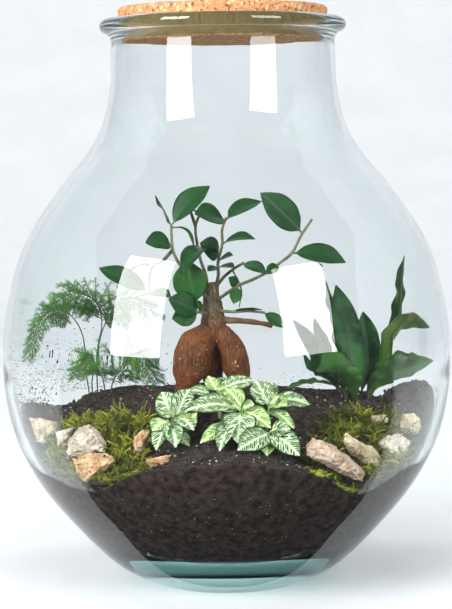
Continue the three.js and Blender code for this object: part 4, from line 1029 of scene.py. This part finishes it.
# Twigs of each spray, and its leaves: foot, tip, width, arch, the way it faces, and brightness
FICUS_SPRAYS = {
    "ficus_spray_left": (
        [
            [
                [-12, -3, 188.5], [-16, -6, 194.5], [-25, -8, 205.5], [-32, -9, 215.5], [-35, -8, 222.5],
                [-36, -4, 233.5], [-36, -2, 238.5],
            ],
            [[-35, -8, 222.5], [-42, -2, 215.5], [-49, 4, 211.5], [-52, 9, 201.5], [-52, 11, 192.5]],
        ],
        [
            [[-36, -2, 237.5], [-10, 6, 264.5], 19, 3, [-0.5, -0.8, 0.35], 0.16],
            [[-36, -1, 236.5], [-47, 10, 257.5], 10, -3, [-0.6, 0.4, 0.6], 0.1],
            [[-35, -2, 236.5], [-21, 4, 223.5], 7, 5, [0.3, 0.2, 0.9], 0.5],
            [[-33, -8, 225.5], [-53, -15, 227.5], 16, 2, [0.1, -0.7, 0.7], 0.12],
            [[-52, 11, 193.5], [-87, 22, 209.5], 16, 2, [0.1, -0.75, 0.65], 0.12],
            [[-52, 11, 193.5], [-37, 1, 190.5], 11, 1, [0, -0.6, 0.8], 0.45],
            [[-49, 4, 211.5], [-68, 14, 204.5], 8, 4, [0, -0.2, 0.95], 0.2],
        ],
    ),
    "ficus_spray_top_left": (
        [
            [
                [-13, 2, 196.5], [-13, 2, 203.5], [-17, 6, 215.5], [-19, 7, 225.5], [-20, 8, 236.5],
                [-17, 7, 244.5],
            ],
            [[-20, 8, 236.5], [-24, 12, 248.5]],
        ],
        [
            [[-17, 7, 243.5], [-23, 1, 248.5], 6, 1, [-0.3, -0.5, 0.8], 0.3],
        ],
    ),
    "ficus_spray_top": (
        [
            [[-7, 0, 196.5], [-5, 1, 204.5], [-5, 2, 213.5], [-2, 2, 225.5], [-2, 1, 234.5], [1, 0, 242.5]],
        ],
        [
            [[0.5, 0, 240.5], [-20, -13, 245.5], 20, 2, [-0.15, -0.75, 0.65], 0.1],
            [[0, 1, 241], [25, 10, 252.5], 17, 2, [-0.2, -0.5, 0.85], 0.16],
            [[-2, 1, 225.5], [20, -6, 228.5], 11, 3, [0, -0.5, 0.85], 0.12],
            [[-4, 2, 219.5], [-28, -24, 208.5], 20, 9, [-0.25, -0.35, 0.9], 0.12],
            [[-4, 2, 217.5], [-17, -9, 226.5], 16, 3, [-0.2, -0.85, 0.5], 0.05],
            [[-5, 2, 214.5], [5, -7, 218.5], 8, 1, [0, -0.6, 0.8], 0.3],
            [[-5, 2, 210.5], [6, -9, 210.5], 9, 1, [0.1, -0.5, 0.85], 0.25],
            [[-5, 1, 210.5], [-12, -8, 208.5], 8, 0.5, [-0.2, -0.8, 0.5], 0.2],
        ],
    ),
    "ficus_spray_right": (
        [
            [
                [-7, -2, 187.5], [-1, -3, 192], [9, -4, 198.5], [17, -2, 201.5], [26, 2, 205.5],
                [37, 8, 212.5], [45, 10, 218.5], [52, 10, 230.5], [59, 9, 240.5],
            ],
        ],
        [
            [[52, 10, 231.5], [24, 2, 258.5], 21, 2, [0.2, -0.95, 0.25], 0.14],
            [[46, 10, 218.5], [81, 0, 212.5], 16, 4, [0, -0.75, 0.65], 0.12],
            [[46, 10, 218.5], [67, 24, 208.5], 9, 2, [0, -0.3, 0.95], 0.3],
            [[36, 7, 211.5], [27, -3, 205.5], 8, 1, [0.4, -0.6, 0.6], 0.3],
            [[8, -4, 198], [2, -12, 204.5], 8, 0.5, [0, -0.9, 0.3], 0.3],
            [[8, -4, 197.5], [5, -11, 186.5], 9, 0.5, [0.1, -0.9, 0.2], 0.35],
        ],
    ),
    "ficus_spray_inner": (
        [
            [[-7, 3, 196.5], [-1, 7, 203.5], [5, 5, 208.5], [12, -3, 213.5]],
        ],
        [
            [[11, -2, 213], [27, -14, 206.5], 10, 2, [0, -0.7, 0.7], 0.14],
            [[5, 5, 207.5], [9, 7, 182.5], 6, 3, [0.9, -0.1, 0.3], 0.5],
        ],
    ),
    "ficus_spray_lower_right": (
        [
            [[-5, -3, 181.5], [3, -7, 181], [15, -10, 181.5], [26, -12, 180.5]],
        ],
        [
            [[4, -7, 181], [24, -16, 183], 9, 0.5, [0.2, 0.1, 0.97], 0.2],
            [[25, -12, 180.5], [38, -15, 170.5], 10, 1, [0.4, -0.75, 0.4], 0.25],
        ],
    ),
    "ficus_spray_lower_left": (
        [
            [[-11, -5, 178.5], [-16, -9, 181.5], [-21, -13, 187.5]],
            [[-14, -8, 180.5], [-19, -14, 181.5]],
        ],
        [
            [[-20, -12, 186.5], [-26, -14, 216.5], 24, 1, [-0.2, -0.95, 0.2], 0.35],
            [[-18, -13, 181.5], [-38, -24, 191.5], 18, 1, [-0.1, -0.9, 0.4], 0.2],
            [[-18, -13, 181.5], [-36, -17, 177.5], 15, 1, [0, -0.98, 0.1], 0.3],
            [[-16, -9, 181.5], [-20, -17, 189.5], 6, 0.3, [0.3, -0.8, 0.4], 0.4],
        ],
    ),
}

# Stems and leaves, in rows as above
FITTONIA_STEMS = {
    "fittonia_stem_back": (
        [
            [[-5, -58, 106.5], [-5, -54, 122.5], [-6, -48, 132.5]],
            [[-5, -54, 122.5], [-11, -52, 129.5]],
        ],
        [
            [[-7, -49, 131.5], [-12, -45, 144.5], 10, 0.5, [0, -0.98, 0.15], 0.9],
            [[-6, -48, 132.5], [0, -40, 142.5], 12, 0.5, [0, -0.9, 0.35], 0.25],
            [[-5, -49, 132.5], [18, -44, 140.5], 16, 3, [0.05, -0.75, 0.6], 0.15],
            [[-11, -52, 129.5], [-26, -48, 131.5], 14, 2, [-0.1, -0.5, 0.85], 0.2],
        ],
    ),
    "fittonia_stem_centre": (
        [
            [[0, -80, 102.5], [4, -76, 114.5], [9, -73, 124.5]],
        ],
        [
            [[9, -73, 124], [-1, -66, 136.5], 15, 1, [0.2, -0.75, 0.6], 0.85],
            [[8, -73, 124.5], [-25, -82, 125.5], 16, 4, [0, -0.6, 0.8], 0.2],
            [[8, -75, 123.5], [6, -101, 107.5], 22, 3, [0.05, -0.8, 0.6], 0.05],
            [[6, -75, 119.5], [-5, -106, 103.5], 14, 4, [-0.3, -0.75, 0.5], 0.15],
            [[10, -74, 124], [27, -89, 114.5], 15, 2, [0.15, -0.75, 0.6], 0.8],
        ],
    ),
    "fittonia_stem_right": (
        [
            [[24, -66, 102.5], [26, -62, 114.5], [27, -60, 124.5]],
        ],
        [
            [[26, -60, 123.5], [19, -54, 140.5], 17, 1, [0, -0.95, 0.3], 0.2],
            [[27.5, -60, 124.5], [29, -51, 139.5], 10, 0.5, [0.2, -0.95, 0.3], 0.3],
            [[28, -60, 123.5], [38, -72, 125.5], 14, 1.5, [0.1, -0.6, 0.8], 0.9],
            [[28, -59, 123.5], [53, -55, 123.5], 13, 4, [0, -0.6, 0.8], 0.2],
            [[28, -60, 119.5], [42, -80, 112.5], 10, 2, [0.4, -0.6, 0.7], 0.25],
        ],
    ),
    "fittonia_stem_front_right": (
        [
            [[24, -84, 98.5], [25, -86, 106.5], [27, -88, 112.5]],
        ],
        [
            [[27, -87, 111.5], [39, -93, 114.5], 13, 1.5, [0.2, -0.75, 0.6], 0.3],
            [[27, -89, 112.5], [44, -103, 99.5], 17, 2, [0.2, -0.85, 0.5], 0.1],
            [[26, -89, 111.5], [6, -109, 104.5], 17, 2, [0, -0.85, 0.5], 0.12],
        ],
    ),
    "fittonia_stem_left": (
        [
            [[-32, -66, 100.5], [-34, -70, 112.5], [-33, -72, 120.5]],
            [[-34, -70, 112.5], [-38, -78, 118.5]],
        ],
        [
            [[-33, -72, 119.5], [-24, -62, 135.5], 15, 1, [0.1, -0.9, 0.4], 0.12],
            [[-34, -71, 118.5], [-42, -59, 132.5], 16, 1, [-0.1, -0.95, 0.3], 0.22],
            [[-38, -78, 117.5], [-47, -88, 113.5], 14, 1.5, [-0.2, -0.75, 0.6], 0.6],
            [[-37, -78, 117.5], [-44, -100, 103.5], 13, 2.5, [-0.4, -0.8, 0.4], 0.1],
            [[-36, -78, 117.5], [-32, -102, 105.5], 14, 2.5, [0.1, -0.85, 0.5], 0.2],
            [[-32, -72, 119.5], [-21, -94, 114.5], 16, 3, [0.2, -0.8, 0.6], 0.15],
        ],
    ),
}

# Small young leaves between the large ones, as rows without the brightness, which is drawn
FITTONIA_SHOOTS = {
    "fittonia_stem_back": [
        [[-6, -48, 132.5], [-1, -56, 136], 7, 0.5, [0, -0.9, 0.4]],
        [[-6, -50, 130], [7, -60, 131], 10, 1, [0, -0.8, 0.6]],
    ],
    "fittonia_stem_centre": [
        [[9, -73, 124.5], [3, -84, 127.5], 8, 0.5, [0, -0.8, 0.6]],
        [[9, -73, 124.5], [17, -81, 128], 7, 0.5, [0.1, -0.8, 0.6]],
        [[5, -75, 116], [-17, -97, 107], 12, 2, [-0.3, -0.8, 0.5]],
    ],
    "fittonia_stem_right": [
        [[29, -60, 123], [41, -84, 113.5], 9, 1, [0.3, -0.85, 0.4]],
        [[27, -60, 124.5], [33, -68, 130], 7, 0.5, [0, -0.9, 0.4]],
        [[26, -62, 115], [16, -80, 116], 10, 1, [-0.1, -0.85, 0.5]],
    ],
    "fittonia_stem_front_right": [
        [[27, -88, 112.5], [31, -97, 115.5], 7, 0.5, [0.1, -0.85, 0.5]],
        [[25, -86, 107], [24, -104, 100], 11, 1, [0, -0.9, 0.4]],
    ],
    "fittonia_stem_left": [
        [[-30, -76, 112], [-19, -86, 124.5], 12, 1, [0.1, -0.95, 0.3]],
        [[-33, -72, 120.5], [-37, -81, 126], 7, 0.5, [0, -0.9, 0.4]],
        [[-34, -70, 110], [-24, -90, 104], 10, 1, [0.2, -0.85, 0.5]],
    ],
}


def make_ficus():
    make_trunk()
    draw = random.Random(21)
    blade = {"fold": 0.24, "rows": 26, "columns": 11, "wave": 0.25, "waves": 1.3}
    for node, (twigs, leaves) in FICUS_SPRAYS.items():
        make_spray(node, twigs, leaves, draw, "ficus", FICUS_RADII, [FICUS_LEAF, FICUS_TWIG], blade)


def make_fittonia():
    draw = random.Random(22)
    blade = {"fold": 0.22, "rows": 30, "columns": 17, "wave": 0.3, "waves": 2.2}
    for node, (twigs, leaves) in FITTONIA_STEMS.items():
        shoots = [[*row, draw.uniform(0.3, 0.9)] for row in FITTONIA_SHOOTS[node]]
        finishes = [FITTONIA_LEAF, FITTONIA_STEM]
        make_spray(node, twigs, leaves + shoots, draw, "fittonia", FITTONIA_RADII, finishes, blade)


# Bird's-nest fern

NEST_STALK = 1.2
NEST_STALK_SHARE = 0.16
# Spine of each frond, its width, the way it faces, the wave of its edge, and brightness
NEST_FRONDS = {
    "nest_frond_tall": (
        [[88, 43, 106.5], [89, 46, 130.5], [86, 50, 160.5], [78, 54, 193.5]],
        20, [-0.1, -0.95, 0.3], 1.2, 0.0,
    ),
    "nest_frond_tall_back": (
        [[84, 53, 106.5], [84, 57, 130.5], [80, 60, 162.5], [71, 62, 196.5]],
        12, [-0.8, -0.55, 0.2], 1.0, 0.05,
    ),
    "nest_frond_middle": (
        [[96, 54, 106.5], [99, 58, 128.5], [101, 62, 150.5], [98, 64, 173.5]],
        19, [0, -0.95, 0.3], 0.9, 0.05,
    ),
    "nest_frond_right": (
        [[98, 49, 106.5], [107, 51, 130.5], [115, 48, 152.5], [124, 37, 167.5], [140, 12, 167]],
        17, [-0.6, -0.5, 0.6], 1.3, 0.6,
    ),
    "nest_frond_far_right": (
        [
            [104, 66, 106.5], [110, 71, 130.5], [117, 67, 150.5], [122, 59, 167.5], [123, 45, 182.5],
            [122, 28, 198.5], [122, 9, 216.5],
        ],
        11, [-0.6, -0.75, 0.2], 1.3, 0.25,
    ),
    "nest_frond_low_right": (
        [[97, 36, 106.5], [105, 30, 124.5], [116, 20, 136.5], [129, 7, 142], [139.5, -5, 147]],
        27, [-0.3, -0.85, 0.45], 1.1, 0.25,
    ),
    "nest_frond_front": (
        [[91, 34, 106.5], [87, 27, 124.5], [80, 19, 137.5], [71, 12, 143.5], [61, 8, 141.5]],
        22, [-0.3, -0.75, 0.6], 0.8, 0.25,
    ),
    "nest_frond_left": (
        [[85, 38, 110.5], [81, 37, 119.5], [73, 34, 127.5], [62, 30, 137.5], [53, 27, 147.5]],
        11, [-0.4, -0.4, 0.8], 0.9, 0.1,
    ),
    "nest_frond_back_left": (
        [[81, 47, 108.5], [76, 48, 128.5], [70, 50, 148.5], [62, 50, 170.5]],
        12, [-0.5, -0.8, 0.3], 0.9, 0.1,
    ),
    "nest_frond_far_left": (
        [[82, 59, 106.5], [73, 64, 130.5], [61, 68, 150.5], [48, 70, 167.5]],
        12, [-0.3, -0.7, 0.6], 0.9, 0.1,
    ),
    "nest_frond_low_left": (
        [[84, 30, 109.5], [79, 27, 119.5], [69, 20, 126.5], [55, 11, 129.5], [40, 2, 124.5]],
        12, [-0.1, -0.4, 0.9], 0.6, 0.1,
    ),
}


def make_nest_fern():
    draw = random.Random(23)
    for name, (spine, width, facing, wave, tint) in NEST_FRONDS.items():
        shape = Shape()
        path = Path(spine)
        stalk = path.at(np.linspace(0, NEST_STALK_SHARE, 9))
        shape.add_tube(stalk, np.linspace(NEST_STALK, 0.8, 9), 8, STALK)
        rib = path.at(np.linspace(NEST_STALK_SHARE - 0.02, 0.94, 40)) - unit(facing) * 0.35
        shape.add_tube(rib, np.linspace(0.75, 0.3, 40), 6, STALK)
        add_blade(
            shape, spine, width, facing, "nest", draw, tint, fold=0.26, wave=wave, waves=3.5, rows=72, columns=17,
            frill=0.9,
        )
        place(shape.build(name.replace("nest_", "fern_"), [NEST_LEAF, NEST_STALK_FINISH]), "nest_fern_leaf", name)


# Asparagus fern

ASPARAGUS_RADII = [0.55, 0.42, 0.34, 0.28]
BRANCH_LEAN = 0.8
BRANCH_SAG = 0.12
BRANCH_PITCH = 1.35
SHOOT_PITCH = 4.2
# Stem of each frond, the share of it that is bare, reach of its branches, and the way it faces
ASPARAGUS_FRONDS = {
    "asparagus_frond_far_left": (
        [
            [-100, 70, 98], [-101, 68, 130], [-103, 63, 159], [-108, 57, 171], [-115, 47, 178],
            [-123, 35, 179], [-130, 21, 171], [-135, 6, 153],
        ],
        0.56, 14, [-0.1, -0.8, 0.6],
    ),
    "asparagus_frond_upper_left": (
        [
            [-94, 64, 98], [-93, 65, 131], [-92, 65, 152], [-89, 64, 166], [-91, 56, 181], [-99, 47, 189],
            [-110, 38, 190], [-120, 30, 184],
        ],
        0.56, 25, [-0.1, -0.75, 0.65],
    ),
    "asparagus_frond_upper_right": (
        [
            [-99, 78, 98], [-98, 78, 124], [-94, 76, 144], [-89, 73, 162], [-80, 66, 178], [-70, 58, 185],
            [-59, 50, 184], [-51, 44, 175],
        ],
        0.56, 22, [0.1, -0.75, 0.65],
    ),
    "asparagus_frond_low_right": (
        [
            [-85, 57, 98], [-80, 55, 130], [-72, 49, 143], [-63, 42, 148], [-54, 35, 143], [-48, 29, 130],
        ],
        0.36, 20, [0.25, -0.7, 0.65],
    ),
    "asparagus_frond_low_left": (
        [
            [-88, 62, 98], [-88, 52, 130], [-91, 42, 144], [-96, 32, 149], [-101, 22, 145], [-104, 16, 135],
        ],
        0.40, 18, [-0.2, -0.7, 0.7],
    ),
}
NEEDLE_PITCH = 0.95
NEEDLE_LENGTH = 3.6
NEEDLE_THICK = 0.32
NEEDLES_ROUND = 4


def add_needles(shape, path, start, draw, reach):
    """Whorls of fine needles along a thread, leaning towards its tip."""
    count = max(2, int(path.length * (1 - start) / NEEDLE_PITCH))
    for i in range(count):
        share = start + (1 - start) * (i + draw.uniform(0.0, 0.6)) / count
        spot, heading = path.at(share)[0], path.heading(share)[0]
        across = unit(np.cross(heading, [0.3, 0.5, 0.8]))
        other = np.cross(heading, across)
        first = draw.uniform(0, 6.28)
        for k in range(NEEDLES_ROUND):
            turn = first + k * 2 * math.pi / NEEDLES_ROUND + draw.uniform(-0.3, 0.3)
            out = math.cos(turn) * across + math.sin(turn) * other
            aim = unit(out + heading * draw.uniform(0.35, 0.9))
            length = reach * draw.uniform(0.7, 1.15) * (1 - 0.35 * i / count)
            side = unit(np.cross(aim, heading))
            up = np.cross(side, aim)
            size = NEEDLE_THICK / 2
            behind = spot - size * 0.5 * side
            base = [spot + size * side, behind + size * 0.87 * up, behind - size * 0.87 * up]
            shape.add([*base, spot + aim * length], [(0, 1, 3), (1, 2, 3), (2, 0, 3)], tip=[0.0, 0.0, 0.0, 1.0])


def make_asparagus():
    draw = random.Random(24)
    for name, (stem, start, reach, facing) in ASPARAGUS_FRONDS.items():
        shape = Shape()
        add_branch(shape, stem, ASPARAGUS_RADII, 6, 60, STALK)
        path = Path(stem)
        upper = unit(facing)
        count = round(path.length * (1 - start) / BRANCH_PITCH)
        for i in range(count):
            share = start + (1 - start) * i / (count - 0.6)
            root, tangent = path.at(share)[0], path.heading(share)[0]
            side = unit(np.cross(upper, tangent)) * (1 if i % 2 else -1)
            aim = side + tangent * (BRANCH_LEAN + draw.uniform(-0.2, 0.25)) + upper * draw.uniform(-0.25, 0.3)
            heading = unit(aim - UP * draw.uniform(0.0, 0.8))
            size = (reach + 3) * (1 - 0.6 * i / count) * draw.uniform(0.8, 1.05)
            down = upper * BRANCH_SAG * size
            branch = Path([root, root + heading * size * 0.5 - down * 0.25, root + heading * size - down], 60)
            shape.add_tube(branch.at(np.linspace(0, 1, 6)), np.linspace(0.38, 0.16, 6), 4, STALK)
            add_needles(shape, branch, 0.08, draw, NEEDLE_LENGTH)
            shoots = max(1, int(size / SHOOT_PITCH))
            for k in range(shoots):
                place_on = (k + 0.6) / (shoots + 0.5)
                foot, along = branch.at(place_on)[0], branch.heading(place_on)[0]
                turn = unit(np.cross(upper, along)) * (1 if k % 2 else -1)
                aim = unit(turn + along * draw.uniform(0.5, 1.0) + upper * draw.uniform(-0.35, 0.35))
                length = size * 0.36 * (1 - 0.4 * place_on) * draw.uniform(0.75, 1.15)
                shoot = Path([foot, foot + aim * length * 0.5, foot + aim * length - upper * 0.5], 30)
                shape.add_tube(shoot.at(np.linspace(0, 1, 3)), [0.22, 0.18, 0.12], 3, STALK)
                add_needles(shape, shoot, 0.15, draw, NEEDLE_LENGTH * 0.85)
        plume = shape.build(name.replace("frond", "plume"), [NEEDLES, ASPARAGUS_STEM_FINISH])
        place(plume, "asparagus_needles", name)


# Studio: pale floor that curves up into a pale wall, soft boxes, camera

# The floor in front of FLOOR_SPLIT isn't mirrored in the glass, which would lay a veil over the soil
FLOOR_SPLIT = -0.062
WALL_FOOT, WALL_BEND, WALL_TOP = 1.6, 1.2, 4.5
AIR_LIGHT = 0.11
# Place, target, width, height and power of each lamp
LAMPS = {
    "softbox_left": ((-1.01, -1.04, 0.76), (0, 0, 0.34), 0.70, 1.01, 38.0),
    "softbox_right": ((0.93, -1.11, 0.69), (0, 0, 0.27), 0.70, 0.83, 20.0),
    "wall_light_left": ((-1.5, 0.9, 1.9), (-0.4, 2.7, 0.3), 1.0, 1.0, 23.5),
    "wall_light_right": ((1.5, 0.9, 1.9), (0.4, 2.7, 0.3), 1.0, 1.0, 23.5),
    "top_light": ((0.0, 0.5, 1.7), (0, 0.1, 0.1), 1.2, 0.7, 5.0),
}


def make_studio():
    paper = finish("studio_paper", dress_plain((0.80, 0.82, 0.85), (0.84, 0.86, 0.89), 0.01), 0.9)
    rows = [[FLOOR_SPLIT, 0.0], [WALL_FOOT, 0.0]]
    for turn in np.linspace(0.1, math.pi / 2, 16):
        rows.append([WALL_FOOT + WALL_BEND * math.sin(turn), WALL_BEND - WALL_BEND * math.cos(turn)])
    rows.append([WALL_FOOT + WALL_BEND, WALL_TOP])
    for name, strip in (("studio_sweep", rows), ("studio_floor_front", [[-4.0, 0.0], [FLOOR_SPLIT, 0.0]])):
        sweep = Shape()
        points = [[x * 1000, y * 1000, z * 1000] for y, z in strip for x in (-5.0, 5.0)]
        sweep.add(points, [(2 * i, 2 * i + 1, 2 * i + 3, 2 * i + 2) for i in range(len(strip) - 1)])
        piece = sweep.build(name, [paper])
        piece.visible_glossy = piece.visible_transmission = name == "studio_sweep"
    world = bpy.data.worlds.new("studio_air")
    world.use_nodes = True
    sky = world.node_tree.nodes["Background"]
    sky.inputs["Color"].default_value = (0.90, 0.94, 1.0, 1)
    sky.inputs["Strength"].default_value = AIR_LIGHT
    bpy.context.scene.world = world
    bpy.context.scene.view_settings.view_transform = "Standard"
    for name, (spot, target, wide, tall, power) in LAMPS.items():
        light = bpy.data.lights.new(name, "AREA")
        light.shape = "RECTANGLE"
        light.size, light.size_y, light.energy = wide, tall, power
        lamp = bpy.data.objects.new(name, light)
        lamp.location = spot
        lamp.rotation_euler = (Vector(target) - Vector(spot)).to_track_quat("-Z", "Y").to_euler()
        lamp.visible_glossy, lamp.visible_transmission = name.startswith("softbox"), False
        bpy.context.scene.collection.objects.link(lamp)


LENS = 105.4
EYE = (0.0, -1.197, 0.293)
LOOK_DOWN, LEAN = 5.155, -0.7


def make_camera():
    lens = bpy.data.cameras.new("camera")
    lens.lens, lens.sensor_width = LENS, 36.0
    camera = bpy.data.objects.new("camera", lens)
    camera.location = EYE
    tilt = Matrix.Rotation(math.radians(90 - LOOK_DOWN), 3, "X") @ Matrix.Rotation(math.radians(LEAN), 3, "Z")
    camera.rotation_euler = tilt.to_euler()
    bpy.context.scene.collection.objects.link(camera)
    bpy.context.scene.camera = camera


make_studio()
make_camera()
make_jar()
make_lid()
make_soil()
make_crumbs()
make_dust()
make_moss("moss_tuft_left", "moss_left", 31, (204, 248))
make_moss("moss_tuft_right", "moss_right", 32, (294, 336))
for node, slot in STONES.items():
    make_stone(node, slot)
make_ficus()
make_fittonia()
make_nest_fern()
make_asparagus()
